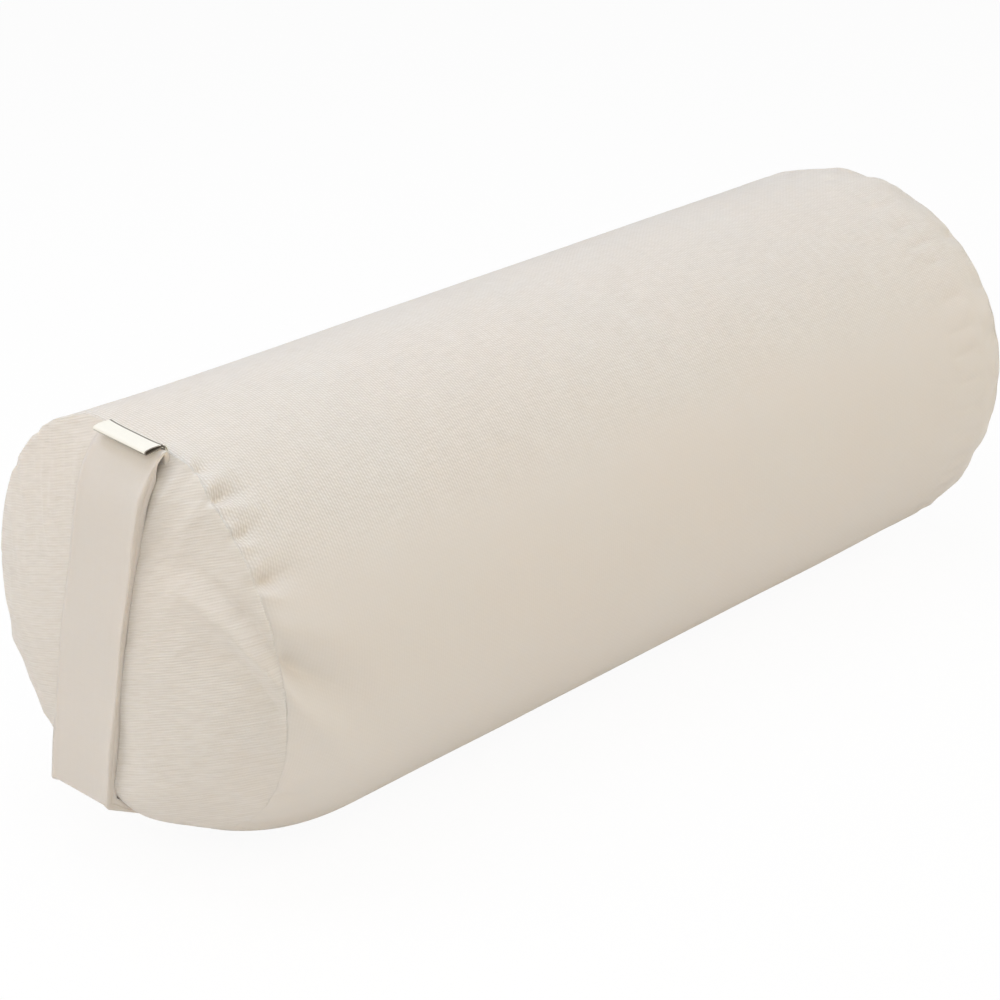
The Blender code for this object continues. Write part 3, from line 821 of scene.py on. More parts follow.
@dataclass(frozen=True)
class CushionForm:
    """Shape of the filled cover, read by every piece that lies on it or in it."""

    section: Section = Section()
    half_span: float = 0.2943
    near: End = End(-1, 0.0745, 0.0067, 0.0248, 2.65, 0.93)
    far: End = End(1, 0.0385, 0.0104, 0.0161, 2.5, 0.7)
    shoulder_power: float = 2.2
    top_rise: float = 0.0105
    bottom_rise: float = 0.0163
    lean: float = 0.021
    lean_fade: float = 0.06
    low_fullness: float = 0.4165
    press: float = 0.0072
    press_angle: float = math.radians(92.5)
    press_spread: float = math.radians(15)
    press_power: float = 2.5
    panel_seat: float = 0.0006
    belly: float = 0.0119
    belly_share: float = 0.81
    belly_width: float = 0.28
    belly_angle: float = math.radians(256)
    belly_spread: float = math.radians(44)
    belly_rim_power: int = 12
    strap_tilt: float = math.radians(6.8)
    strap_top_tilt: float = math.radians(3)
    strap_offset: float = 0.0023
    strap_width: float = 0.044
    tail_margin: float = 0.014
    tail_fade: float = 0.02
    tail_push_top: float = 0.0039
    tail_push_low: float = 0.0023

    def seam_drop(self, end: End, angle: Grid) -> Grid:
        """Measure how far an end's seam lies inside the barrel's outline.

        Args:
            end: which end.
            angle: angles around the seam.

        Returns:
            The distances.
        """
        if end.side > 0:
            return np.full(np.shape(angle), end.drop)
        up = np.sin(angle)
        away = np.abs(turned(angle, self.press_angle)) / self.press_spread
        pressed = self.press * np.exp(-(away**self.press_power))
        rise = self.bottom_rise * np.clip(-up, 0, 1) ** 2 - self.top_rise * np.clip(up, 0, 1) ** 2
        return end.drop + rise + pressed

    def fall(self, x: Grid, angle: Grid) -> Grid:
        """Measure how far the barrel's radius falls towards either seam.

        Args:
            x: places along the barrel.
            angle: angles around it.

        Returns:
            The distances.
        """
        total = np.zeros(np.broadcast(x, angle).shape)
        for end in (self.near, self.far):
            share = np.clip((self.half_span - end.side * x) / end.shoulder, 0, 1)
            total = total + self.seam_drop(end, angle) * (1 - share) ** self.shoulder_power
        return total

    def leaning(self, x: Grid, z: Grid) -> Grid:
        """Place along the bolster after the near end leans: outwards above, inwards below."""
        fade = np.clip(1 - (x + self.half_span) / self.lean_fade, 0, 1)
        return x - self.lean * (z - self.section.centre_height) * fade

    def crown(self, end: End, share: Grid, angle: Grid) -> Grid:
        """Measure how far an end panel stands out.

        Args:
            end: which end.
            share: places from the rim at 1 to the middle at 0.
            angle: angles around the middle.

        Returns:
            The distances.
        """
        rise = end.crown * (1 - np.clip(share, 0, 1) ** end.power) ** end.edge
        if end.side > 0:
            return rise
        away = turned(angle, self.belly_angle) / self.belly_spread
        around = np.exp(-(away**2))
        around = around * np.exp(-(((share - self.belly_share) / self.belly_width) ** 2))
        rim = 1 - np.clip(share, 0, 1) ** self.belly_rim_power
        return rise * (1 - self.low_fullness * np.sin(angle) * share) + self.belly * around * rim

    def strap_axes(self, y: Grid, z: Grid) -> tuple[Grid, Grid]:
        """Measure places from the section's centre in the strap's directions.

        Args:
            y: their y.
            z: their z.

        Returns:
            Distances across and along the strap.
        """
        up = z - self.section.centre_height
        across = y * math.cos(self.strap_tilt) + up * math.sin(self.strap_tilt)
        along = -y * math.sin(self.strap_tilt) + up * math.cos(self.strap_tilt)
        return across, along

    def from_strap(self, out: Grid, across: Grid, along: Grid) -> Grid:
        """Place points that are measured in the strap's directions.

        Args:
            out: distances out of the near seam's plane.
            across: distances across the strap.
            along: distances along it.

        Returns:
            The points.
        """
        y = across * math.cos(self.strap_tilt) - along * math.sin(self.strap_tilt)
        up = across * math.sin(self.strap_tilt) + along * math.cos(self.strap_tilt)
        z = self.section.centre_height + up
        x = self.leaning(np.broadcast_to(-self.half_span - out, np.shape(y)), z)
        return np.stack([x, y, z], -1)

    def tail_room(self, angle: Grid) -> Grid:
        """Measure how far the tails of strap and label push the near seam inwards.

        Args:
            angle: angles around the seam.

        Returns:
            The distances.
        """
        y, z = self.section.place(angle, self.seam_drop(self.near, angle))
        across, along = self.strap_axes(y, z)
        past = np.abs(across - self.strap_offset) - self.strap_width / 2 - self.tail_margin
        room = np.where(along > 0, self.tail_push_top, self.tail_push_low)
        return room * smooth(1 - past / self.tail_fade)


# Meshes


def new_piece(name: str, mesh: bpy.types.Mesh, material: bpy.types.Material,
              node: str | None = None,
              body: Body = Body.CUSHION) -> bpy.types.Object:
    """Link a mesh as a piece that rides on a body.

    Args:
        name: the piece's name.
        mesh: its mesh.
        material: its finish.
        node: the node of the frame that it stands for, if any.
        body: the body that carries it.

    Returns:
        The piece.
    """
    mesh.materials.append(material)
    thing = bpy.data.objects.new(name, mesh)
    bpy.context.scene.collection.objects.link(thing)
    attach(thing, body.value)
    if node is not None:
        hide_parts(node)
    LOG.info("%s: %d faces", name, len(mesh.polygons))
    return thing


def quads_of(rows: int, columns: int, around: bool) -> Grid:
    """Number the corners of the quads over a grid of points.

    Args:
        rows: the grid's rows.
        columns: its columns.
        around: whether each row closes on itself.

    Returns:
        Four numbers for each quad.
    """
    number = np.arange(rows * columns).reshape(rows, columns)
    following = np.roll(number, -1, 1) if around else number[:, 1:]
    first = number if around else number[:, :-1]
    return np.stack([first[:-1], following[:-1], following[1:], first[1:]], -1).reshape(-1, 4)


def skin(name: str, points: Grid, around: bool = False, flip: bool = False) -> bpy.types.Mesh:
    """Skin a grid of points with quads.

    Args:
        name: the mesh's name.
        points: rows by columns by 3.
        around: whether each row closes on itself.
        flip: whether the faces turn the other way.

    Returns:
        The smooth mesh.
    """
    quads = quads_of(*points.shape[:2], around)
    return joined(name, [(points.reshape(-1, 3), quads[:, ::-1] if flip else quads)])


def joined(name: str, parts: Sequence[tuple[Grid, Grid]]) -> bpy.types.Mesh:
    """Make one smooth mesh of several parts.

    Args:
        name: the mesh's name.
        parts: points and faces of each.

    Returns:
        The mesh.
    """
    points, faces, count = [], [], 0
    for some, quads in parts:
        points.append(some)
        faces.append(quads + count)
        count += len(some)
    mesh = bpy.data.meshes.new(name)
    mesh.from_pydata(np.concatenate(points).tolist(), [], np.concatenate(faces).tolist())
    mesh.shade_smooth()
    return mesh


def normals_of(points: Grid, around: bool) -> Grid:
    """Find the unit normals of a grid of points, by the cross product of its directions.

    Args:
        points: rows by columns by 3.
        around: whether each row closes on itself.

    Returns:
        A normal for each point.
    """
    down = np.gradient(points, axis=0)
    if around:
        wide = np.concatenate([points[:, -1:], points, points[:, :1]], 1)
        along = (wide[:, 2:] - wide[:, :-2]) / 2
    else:
        along = np.gradient(points, axis=1)
    cross = np.cross(along, down)
    return cross / np.maximum(np.linalg.norm(cross, axis=-1, keepdims=True), 1e-12)


@contextmanager
def opened(mesh: bpy.types.Mesh) -> Iterator[bmesh.types.BMesh]:
    """Open a mesh for editing and write it back.

    Args:
        mesh: the mesh.

    Returns:
        The mesh while it is edited.
    """
    solid = bmesh.new()
    solid.from_mesh(mesh)
    solid.verts.ensure_lookup_table()
    yield solid
    solid.to_mesh(mesh)
    solid.free()


def close_middle(mesh: bpy.types.Mesh, around: int, turned_over: bool) -> None:
    """Close the last ring of a skinned dome with a fan of faces.

    Args:
        mesh: the dome.
        around: number of points in the ring.
        turned_over: whether the faces turn the other way.
    """
    with opened(mesh) as solid:
        hub = solid.verts[-around:]
        face = solid.faces.new(hub[::-1] if turned_over else hub)
        face.smooth = True
        bmesh.ops.poke(solid, faces=[face])


def close_ends(solid: bmesh.types.BMesh, around: int) -> None:
    """Close the two open ends of a skinned tube with one face each.

    Args:
        solid: the tube.
        around: number of points in each ring.
    """
    for ring in (solid.verts[:around], solid.verts[-around:]):
        solid.faces.new(ring).smooth = True
    bmesh.ops.recalc_face_normals(solid, faces=solid.faces)


# Cover


@dataclass(frozen=True)
class Relief:
    """Heights over a ring of cloth, by angle and by distance from its seam."""

    heights: Grid
    step: float

    def read(self, angle: Grid, away: Grid) -> Grid:
        """Smooth heights at any places.

        Args:
            angle: their angles.
            away: their distances from the seam.

        Returns:
            The heights, 0 beyond the last row.
        """
        rows, columns = self.heights.shape
        column = np.mod(angle / TURN, 1) * columns
        row = np.clip(away / self.step, 0, rows - 1.001)
        first, across = np.floor(row).astype(int), np.floor(column).astype(int)
        total = 0
        for down, weight_down in enumerate(self.weights(row - first), -1):
            for side, weight_side in enumerate(self.weights(column - across), -1):
                found = self.heights[np.clip(first + down, 0, rows - 1), (across + side) % columns]
                total = total + weight_down * weight_side * found
        return total * (away < self.step * (rows - 1))

    @staticmethod
    def weights(part: Grid) -> tuple[Grid, Grid, Grid, Grid]:
        """Shares of four neighbours in a smooth curve through them."""
        square, cube = part**2, part**3
        return (square - (cube + part) / 2, 1.5 * cube - 2.5 * square + 1,
                2 * square - 1.5 * cube + part / 2, (cube - square) / 2)


@dataclass
class Gathering:
    """Cloth simulation of the cloth that is gathered into an end seam.

    The cloth is cut as wide as the barrel, sewn to the smaller seam and filled, so it buckles
    into folds. Only the folds are kept: the outline stays that of the form.
    """

    columns: int = 252
    barrel_rows: int = 25
    panel_rows: int = 23
    step: float = 0.003
    frames: int = 20
    pressure: float = 4.0
    mass: float = 0.25
    damping: float = 2.0
    stretch: float = 40.0
    shear: float = 12.0
    bending: float = 0.35
    quality: int = 5
    cap: float = 0.0042
    slow_waves: int = 5
    fade_share: float = 0.35
    barrel_spare: float = 0.0022
    panel_spare: float = 1.035
    barrel_start: float = 0.6
    panel_start: float = 0.5

    def settle(self, start: Grid, flat: Grid) -> Grid:
        """Fill a ring of cloth that is pinned along its first and last rows.

        Args:
            start: its points before it is filled, rows by columns by 3.
            flat: the same points as the cloth is cut, which sets its size.

        Returns:
            Its points once filled.
        """
        mesh = skin("gathered_cloth", start, around=True)
        thing = bpy.data.objects.new("gathered_cloth", mesh)
        scene = bpy.context.scene
        scene.collection.objects.link(thing)
        thing.shape_key_add(name="sewn", from_mix=False)
        cut = thing.shape_key_add(name="cut", from_mix=False)
        cut.data.foreach_set("co", flat.reshape(-1))
        pins = thing.vertex_groups.new(name="pins")
        last, count = len(mesh.vertices), self.columns
        pins.add([*range(count), *range(last - 2 * count, last)], 1.0, "REPLACE")
        cloth = thing.modifiers.new("filling", "CLOTH")
        settings = cloth.settings
        settings.rest_shape_key = cut
        settings.vertex_group_mass = "pins"
        settings.quality = self.quality
        settings.mass = self.mass
        settings.air_damping = self.damping
        settings.tension_stiffness = settings.compression_stiffness = self.stretch
        settings.shear_stiffness = self.shear
        settings.bending_stiffness = self.bending
        settings.use_pressure = True
        settings.uniform_pressure_force = self.pressure
        settings.effector_weights.gravity = 0
        cloth.collision_settings.use_collision = False
        cloth.point_cache.frame_start = 1
        cloth.point_cache.frame_end = self.frames
        for number in range(1, self.frames + 1):
            scene.frame_set(number)
        shaped = thing.evaluated_get(bpy.context.evaluated_depsgraph_get()).data
        points = np.empty(len(shaped.vertices) * 3)
        shaped.vertices.foreach_get("co", points)
        bpy.data.objects.remove(thing)
        bpy.data.meshes.remove(mesh)
        scene.frame_set(1)
        return points.reshape(start.shape)

    def folds(self, plain: Grid, dents: Grid, flat: Grid, outward: Grid) -> Relief:
        """Settle a ring of cloth and keep its folds.

        Args:
            plain: its smooth form.
            dents: height of the first dents over it.
            flat: its size as it is cut.
            outward: normals of the smooth form.

        Returns:
            The height of the folds over the smooth form.
        """
        settled = self.settle(plain + outward * dents[..., None], flat)
        waves = np.fft.rfft(((settled - plain) * outward).sum(-1), axis=1)
        waves[:, : self.slow_waves] = 0
        height = np.fft.irfft(waves, self.columns, axis=1)
        LOG.info("folds of %.1f mm at most", np.abs(height).max() / MM)
        height = self.cap * np.tanh(height / self.cap)
        rows = height.shape[0]
        fade = smooth((rows - 1 - np.arange(rows)) / (self.fade_share * rows))[:, None]
        return Relief(height * fade, self.step)


@dataclass
class Cover:
    """The barrel and the two end panels of the zipped cover."""

    form: CushionForm
    finishes: Finishes
    columns: int = 540
    dome_rows: int = 65
    roll: float = 0.0008
    roll_flatness: float = 0.5
    roll_wander: float = 0.00012
    tight_roll: float = 0.0003
    notch_pull: float = 0.5
    notch_reach: float = 0.012
    tight_spots: tuple[tuple[float, float], ...] = (
        (100, 11), (119, 11), (131, 6), (147, 5), (170, 5), (200, 10), (222, 14), (245, 10),
        (318, 14), (350, 8), (30, 12), (62, 7),
    )
    allowance: float = 0.0035
    near_puckers: tuple[Pucker, ...] = (
        Pucker(100, 0.9, 5, 18, -2), Pucker(114.5, 4.0, 2.4, 9, -1.5),
        Pucker(122.7, 6.0, 3.0, 15, 0.5), Pucker(133.5, 4.2, 2.6, 11, -1),
        Pucker(145, 5.4, 3.4, 15, 1), Pucker(164.5, 9.0, 9.5, 36, 30),
        Pucker(188, 1.4, 2.4, 7, 0), Pucker(207, 1.8, 4.5, 24, 5), Pucker(226, 1.4, 5, 20, 2),
        Pucker(301, 1.6, 5, 18, -2), Pucker(322, 2.0, 4, 20, 2), Pucker(341, 2.4, 3.6, 22, -1),
        Pucker(357, 2.0, 3.4, 18, 2), Pucker(10, 2.6, 4, 24, 1), Pucker(39, 2.4, 3.6, 20, -2),
        Pucker(55, 2.2, 3.4, 15, 1), Pucker(68, 1.4, 4, 16, 0),
    )
    near_panel_puckers: tuple[Pucker, ...] = (
        Pucker(122, 0.9, 4, 14, 0), Pucker(145, 0.9, 4, 14, 2), Pucker(169.5, 7.0, 9.0, 36, -66),
        Pucker(188, 0.7, 3, 10, 0), Pucker(208, 1.8, 6, 26, -8), Pucker(235, 1.0, 6, 22, 4),
        Pucker(318, 1.4, 5, 22, 4), Pucker(345, 1.6, 5, 20, -3), Pucker(12, 1.2, 4, 18, 2),
        Pucker(44, 1.6, 5, 22, -4), Pucker(63, 0.9, 4, 16, 1),
    )
    far_puckers: tuple[Pucker, ...] = (
        Pucker(14, 1.8, 5, 20, 1), Pucker(43, 1.6, 5, 18, -1), Pucker(58, 2.2, 4.5, 22, 1),
        Pucker(75, 1.5, 5, 18, 0), Pucker(93, 2.0, 5, 20, -2), Pucker(110, 1.4, 6, 22, 2),
        Pucker(128, 2.2, 4.5, 19, 1), Pucker(147, 1.7, 5, 17, -1), Pucker(163, 2.1, 5, 22, 2),
        Pucker(182, 1.5, 6, 24, 0), Pucker(204, 1.8, 5, 18, 1), Pucker(226, 1.2, 6, 18, 0),
        Pucker(304, 1.2, 6, 18, 2), Pucker(325, 1.7, 5, 20, -2), Pucker(346, 2.0, 5, 22, 1),
    )
    rim_reach: float = 0.003
    near_panel_share: float = 0.8
    far_panel_share: float = 0.35
    code_share: float = 0.8
    barrel_bumps: float = 0.0004
    panel_bumps: float = 0.0011
    zip_angle: float = math.radians(26.25)
    slot_start: float = -0.2056
    slot_end: float = 0.2416
    slot_half: float = 0.005
    slot_taper: float = 0.006
    slot_closed: float = 0.00002
    lip_roll: float = 0.0007
    lip_depth: float = 0.00135
    lip_span: float = 0.022
    lip_columns: int = 14
    furrow: float = 0.00028
    furrow_place: float = 0.0026
    furrow_width: float = 0.0009
    fine_rows: tuple[float, float, float] = (0.0017, 0.012, 0.0011)
    coarse_rows: tuple[float, float, float] = (0.0130, 0.070, 0.0019)
    shoulder_span: float = 0.075
    middle_rows: int = 84
    tail_reach: float = 0.018
    calm_start: float = 0.008
    calm_span: float = 0.02
    rest_height: float = 0.0006
    rest_fade: float = 0.012
    gathering: Gathering = field(default_factory=Gathering)
    settled: dict[int, tuple[Relief, Relief]] = field(default_factory=dict)

    def seam_puckers(self, end: End) -> tuple[Pucker, ...]:
        """The barrel's dents at an end."""
        return self.near_puckers if end.side < 0 else self.far_puckers

    def panel_puckers(self, end: End) -> tuple[Pucker, ...]:
        """The dents of an end panel."""
        return self.near_panel_puckers if end.side < 0 else self.far_puckers

    def folds(self, end: End) -> tuple[Relief, Relief]:
        """Simulate the folds of the barrel and of the panel at an end.

        Args:
            end: which end.

        Returns:
            The folds of the barrel's cloth and of the panel's.
        """
        form, plan = self.form, self.gathering
        angle = np.linspace(0, TURN, plan.columns, endpoint=False)[None, :]
        away = np.arange(plan.barrel_rows)[:, None] * plan.step
        angle, away = np.broadcast_arrays(angle, away)
        x = end.side * (form.half_span - away)
        y, z = form.section.place(angle, form.fall(x, angle))
        plain = np.stack([form.leaning(x, z), y, z], -1)
        outward = normals_of(plain, True) * end.side
        dents = plan.barrel_start * self.puckering(self.seam_puckers(end), angle, away)
        y, z = form.section.place(angle, -plan.barrel_spare)
        barrel = plan.folds(plain, dents, np.stack([x, y, z], -1), outward)

        rim = form.section.radius - end.drop
        away, angle = away[: plan.panel_rows], angle[: plan.panel_rows]
        share = 1 - away / rim
        y, z = form.section.place(angle, form.seam_drop(end, angle), share)
        out = form.panel_seat + form.crown(end, share, angle)
        plain = np.stack([form.leaning(end.side * (form.half_span + out), z), y, z], -1)
        outward = normals_of(plain, True) * -end.side
        dents = plan.panel_start * self.puckering(self.panel_puckers(end), angle, away)
        run = np.linalg.norm(np.diff(plain, axis=0), axis=-1).mean(1)
        wide = plan.panel_spare * rim - np.concatenate([[0], np.cumsum(run)])[:, None]
        flat = np.stack([0 * angle, wide * np.cos(angle), wide * np.sin(angle)], -1)
        return barrel, plan.folds(plain, dents, flat, outward)

    def puckering(self, puckers: Sequence[Pucker], angle: Grid, away: Grid) -> Grid:
        """Relief of an end's puckers.

        Args:
            puckers: the dents.
            angle: angle of each point.
            away: distance of each point from the seam, in metres.

        Returns:
            Relief in metres, negative in a dent.
        """
        radius = self.form.section.radius / MM
        total = np.zeros(np.broadcast(angle, away).shape)
        for pucker in puckers:
            turn = turned(angle, math.radians(pucker.angle))
            total += pucker.relief(turn * radius, away / MM)
        return total * MM

    def slot_width(self, x: Grid) -> Grid:
        """Measure half the zip's slot, which closes to a seam beyond its ends.

        Args:
            x: places along the barrel.

        Returns:
            Half its width there.
        """
        start = smooth((x - self.slot_start + self.slot_taper) / self.slot_taper)
        end = smooth((self.slot_end + self.slot_taper - x) / self.slot_taper)
        return self.slot_closed + self.slot_half * start * end

    def seam_roll(self, angle: Grid) -> Grid:
        """Measure the rolled edges at an end seam, which close up at its tight spots.

        Args:
            angle: angles around the seam.

        Returns:
            Their radius.
        """
        tight = 0
        for spot, width in self.tight_spots:
            tight = tight + np.exp(-((turned(angle, math.radians(spot)) / math.radians(width)) ** 2))
        loose = self.roll + self.roll_wander * np.sin(23 * angle + 1.7 * np.sin(5 * angle))
        return loose + (self.tight_roll - loose) * np.clip(tight, 0, 1)

    def barrel_rows(self) -> tuple[Grid, Grid, Grid, Grid]:
        """Places of the barrel's rows.

        Returns:
            For each row its place along the barrel, how many radii of the seam's roll it
            lies from there towards the middle and inwards, and how far else it lies inwards.
        """
        steps = np.linspace(0, QUARTER, 6)
        open_rows = [*np.arange(*self.fine_rows), *np.arange(*self.coarse_rows)]
        none = [0.0] * len(open_rows)
        away = np.array([0.0] * (len(steps) + 1) + open_rows)
        rolled = np.array([0.0, *(1 - np.cos(steps))] + none)
        lowered = np.array([0.0, *(1 - np.sin(steps))] + none)
        turned_in = np.array([self.allowance] + [0.0] * len(steps) + none)
        reach = self.form.half_span - self.shoulder_span
        middle = np.linspace(-reach, reach, self.middle_rows)
        none = np.zeros_like(middle)
        x = np.concatenate([-self.form.half_span + away, middle,
                            (self.form.half_span - away)[::-1]])
        rolled = np.concatenate([rolled, none, -rolled[::-1]])
        lowered = np.concatenate([lowered, none, lowered[::-1]])
        return x, rolled, lowered, np.concatenate([turned_in, none, turned_in[::-1]])

    def barrel_columns(self, x: Grid) -> tuple[Grid, Grid]:
        """Places of the columns, from the zip's upper lip all the way round to its lower.

        Args:
            x: place of each row along the barrel.

        Returns:
            Arc length from the zip's middle and how far the lip is turned in, both for
            every row and column.
        """
        half = self.slot_width(x)[:, None]
        steps = np.linspace(QUARTER, 0, 5)
        lip_arc = np.concatenate([[0.0], self.lip_roll * (1 - np.sin(steps))])
        lip_sunk = np.concatenate([[self.lip_depth], self.lip_roll * (1 - np.cos(steps))])
        grow = np.linspace(0, 1, self.lip_columns + 1)[1:] ** 1.5
        start = half + self.lip_roll
        lip = np.concatenate([half + lip_arc, start + (self.lip_span - start) * grow], 1)
        total = TURN * self.form.section.radius
        count = self.columns - 2 * lip.shape[1]
        rest = np.linspace(self.lip_span, total - self.lip_span, count + 2)[1:-1]
        rest = np.broadcast_to(rest, (len(x), count))
        arc_length = np.concatenate([lip, rest, total - lip[:, ::-1]], 1)
        sunk = np.zeros_like(arc_length)
        sunk[:, : len(lip_sunk)] = lip_sunk
        sunk[:, -len(lip_sunk):] = lip_sunk[::-1]
        return arc_length, sunk

    def barrel_points(self) -> Grid:
        """Shape the barrel, with its puckers and unevenness.

        Returns:
            Rows by columns by 3.
        """
        form = self.form
        x, rolled, lowered, turned_in = self.barrel_rows()
        arc_length, lip = self.barrel_columns(x)
        angle = self.zip_angle + arc_length / form.section.radius
        roll = self.seam_roll(angle)
        x = x[:, None] + rolled[:, None] * roll
        drawn = lowered[:, None] * roll * self.roll_flatness + turned_in[:, None]
        y, z = form.section.place(angle, form.fall(x, angle))
        push = form.tail_room(angle) * np.clip(1 - (x + form.half_span) / self.tail_reach, 0, 1)
        base = np.stack([form.leaning(x + push, z), y, z], -1)
        out = normals_of(base, False)
        relief = edge = 0
        for end in (form.near, form.far):
            away = form.half_span - end.side * x
            puckers = self.seam_puckers(end)
            dents = self.puckering(puckers, angle, away)
            notch = self.puckering(puckers, angle, np.zeros_like(x))
            rim_share = beyond(away, self.rim_reach)
            edge = edge + notch * rim_share
            if end.side in self.settled:
                dents = dents * self.code_share + self.settled[end.side][0].read(angle, away)
            relief = relief + dents * (1 - rim_share)
            follow = np.clip(1 - away / self.notch_reach, 0, 1)
            base[..., 0] += end.side * self.notch_pull * notch * follow
        beside_zip = self.beside_zip(arc_length)
        calm = smooth((beside_zip - self.calm_start) / self.calm_span)
        uneven = even_bumps(seed=11, count=9, angle=angle, along=x, longest=0.22)
        uneven = self.barrel_bumps * uneven
        relief = (relief * calm + uneven * (0.3 + 0.7 * calm)) * self.resting(z)
        relief = relief - self.stitch_furrow(beside_zip, x)
        edge = edge * self.resting(z)
        return base + out * (relief - lip)[..., None] + self.outwards(angle, edge - drawn)

    @staticmethod
    def outwards(angle: Grid, height: Grid) -> Grid:
        """Steps of a height away from the barrel's axis."""
        return np.stack([0 * height, np.cos(angle) * height, np.sin(angle) * height], -1)

    def beside_zip(self, arc_length: Grid) -> Grid:
        """Distance round the barrel from the zip's middle, either way."""
        return np.minimum(arc_length, np.abs(TURN * self.form.section.radius - arc_length))

    def stitch_furrow(self, away: Grid, x: Grid) -> Grid:
        """Shape the shallow furrow that the topstitching beside the zip pulls in.

        Args:
            away: distances from the zip's middle.
            x: places along the barrel.

        Returns:
            Its depth.
        """
        past, fade = 0.006, 0.004
        inside = smooth((x - self.slot_start + past) / fade)
        inside = inside * smooth((self.slot_end + past - x) / fade)
        side = (away - self.slot_half - self.furrow_place) / self.furrow_width
        return self.furrow * np.exp(-(side**2)) * inside

    def resting(self, z: Grid) -> Grid:
        """Share of the relief that stays near the floor, where the cloth lies flat."""
        return smooth((z - self.rest_height) / self.rest_fade)

    def panel_points(self, end: End) -> Grid:
        """Shape an end panel, from its turned-in rim to its middle.

        Args:
            end: which end it closes.

        Returns:
            Rows by columns by 3.
        """
        form = self.form
        push_share, push_span, follow_share, follow_span = 0.86, 0.14, 0.9, 0.1
        hub_share, hub_span, rim_fade = 0.05, 0.35, 0.02
        steps = np.linspace(0, QUARTER, 5)
        dome = np.cos(np.linspace(0, QUARTER, self.dome_rows + 1)[:-1])
        rim = len(steps) + 1
        size = (rim + len(dome), self.columns)
        angle = np.broadcast_to(np.linspace(0, TURN, self.columns, endpoint=False), size)
        roll = self.seam_roll(angle[0])
        share = np.concatenate([np.ones(rim), dome])[:, None]
        seat, drawn = np.full(size, form.panel_seat), np.zeros(size)
        seat[0], drawn[0] = 0.0, self.allowance
        seat[1:rim] -= roll * np.cos(steps)[:, None]
        drawn[1:rim] = self.roll_flatness * roll * (1 - np.sin(steps))[:, None]
        seat[1] = 0.0
        y, z = form.section.place(angle, form.seam_drop(end, angle) + drawn, share)
        out = seat + form.crown(end, share, angle)
        x = end.side * (form.half_span + out)
        pushed = smooth((share - push_share) / push_span)
        push = form.tail_room(angle) * pushed if end.side < 0 else 0.0
        notch = self.puckering(self.seam_puckers(end), angle, np.zeros(size))
        follow = np.clip((share - follow_share) / follow_span, 0, 1)
        x = form.leaning(x + push + end.side * self.notch_pull * notch * follow, z)
        base = np.stack([x, y, z], -1)
        outward = normals_of(base, True) * -end.side
        away = (1 - share) * (form.section.radius - end.drop)
        part = self.near_panel_share if end.side < 0 else self.far_panel_share
        relief = part * self.puckering(self.panel_puckers(end), angle, away)
        if end.side in self.settled:
            relief = relief * self.code_share + self.settled[end.side][1].read(angle, away)
        rim_share = beyond(away, self.rim_reach)
        seed = 23 if end.side < 0 else 31
        uneven = even_bumps(seed, count=7, angle=angle, along=away, longest=0.16)
        middle = smooth(away / rim_fade) * smooth((share - hub_share) / hub_span)
        relief = relief * (1 - rim_share) + self.panel_bumps * uneven * middle
        relief = relief * self.resting(z)
        edge = self.outwards(angle, notch * rim_share * self.resting(z))
        return base + outward * relief[..., None] + edge

    def panel(self, end: End, name: str, node: str) -> bpy.types.Object:
        """Build an end panel.

        Args:
            end: which end it closes.
            name: the piece's name.
            node: the node of the frame that it stands for.

        Returns:
            The panel.
        """
        near = end.side < 0
        mesh = skin(name, self.panel_points(end), around=True, flip=near)
        close_middle(mesh, self.columns, near)
        return new_piece(name, mesh, self.finishes.panel, node)

    def build(self) -> tuple["Cloth", "Cloth"]:
        """Build the three pieces of the cover, with simulated folds.

        Returns:
            The faces of the barrel and of the near panel, for other pieces to lie on.
        """
        self.settled = {end.side: self.folds(end) for end in (self.form.near, self.form.far)}
        name = "cover_barrel_cloth"
        barrel = new_piece(name, skin(name, self.barrel_points(), flip=True),
                           self.finishes.barrel, "cover_barrel")
        near = self.panel(self.form.near, "near_panel_cloth", "near_end_panel")
        self.panel(self.form.far, "far_panel_cloth", "far_end_panel")
        return Cloth(barrel.data), Cloth(near.data)


class Cloth:
    """Face of a piece of the cover, for other pieces to lie on."""

    ABOVE: ClassVar[float] = 0.02
    REACH: ClassVar[float] = 0.03

    def __init__(self, mesh: bpy.types.Mesh) -> None:
        """Take the face of a mesh.

        Args:
            mesh: the piece's mesh.
        """
        corners = [tuple(vertex.co) for vertex in mesh.vertices]
        faces = [tuple(face.vertices) for face in mesh.polygons]
        self.tree = BVHTree.FromPolygons(corners, faces)

    def under(self, points: Grid, normal: Vector) -> Grid:
        """Drop points onto the face against a direction.

        Args:
            points: points outside the cloth.
            normal: the direction that they drop against.

        Returns:
            Where they meet the cloth, or the points themselves where they miss it.
        """
        landed = []
        for point in points:
            start = Vector(point) + normal * self.ABOVE
            hit = self.tree.ray_cast(start, -normal, self.REACH)[0]
            landed.append(tuple(hit) if hit else tuple(point))
        return np.array(landed)

    def room(self, points: Grid, steps: Grid, most: float) -> Grid:
        """Measure how far points lie off the face.

        Args:
            points: the points.
            steps: direction of each towards the face.
            most: the longest distance that matters.

        Returns:
            The distances.
        """
        found = []
        for point, step in zip(points, steps):
            distance = self.tree.ray_cast(Vector(point), Vector(step).normalized(), most)[3]
            found.append(most if distance is None else distance)
        return np.array(found)


# Strap and label


def arc(centre: tuple[float, float], radius: float, start: float, end: float,
        steps: int = 8) -> list[tuple[float, float]]:
    """Points on an arc, by angle in degrees."""
    angles = np.radians(np.linspace(start, end, steps + 1))
    return [(centre[0] + radius * math.cos(a), centre[1] + radius * math.sin(a)) for a in angles]


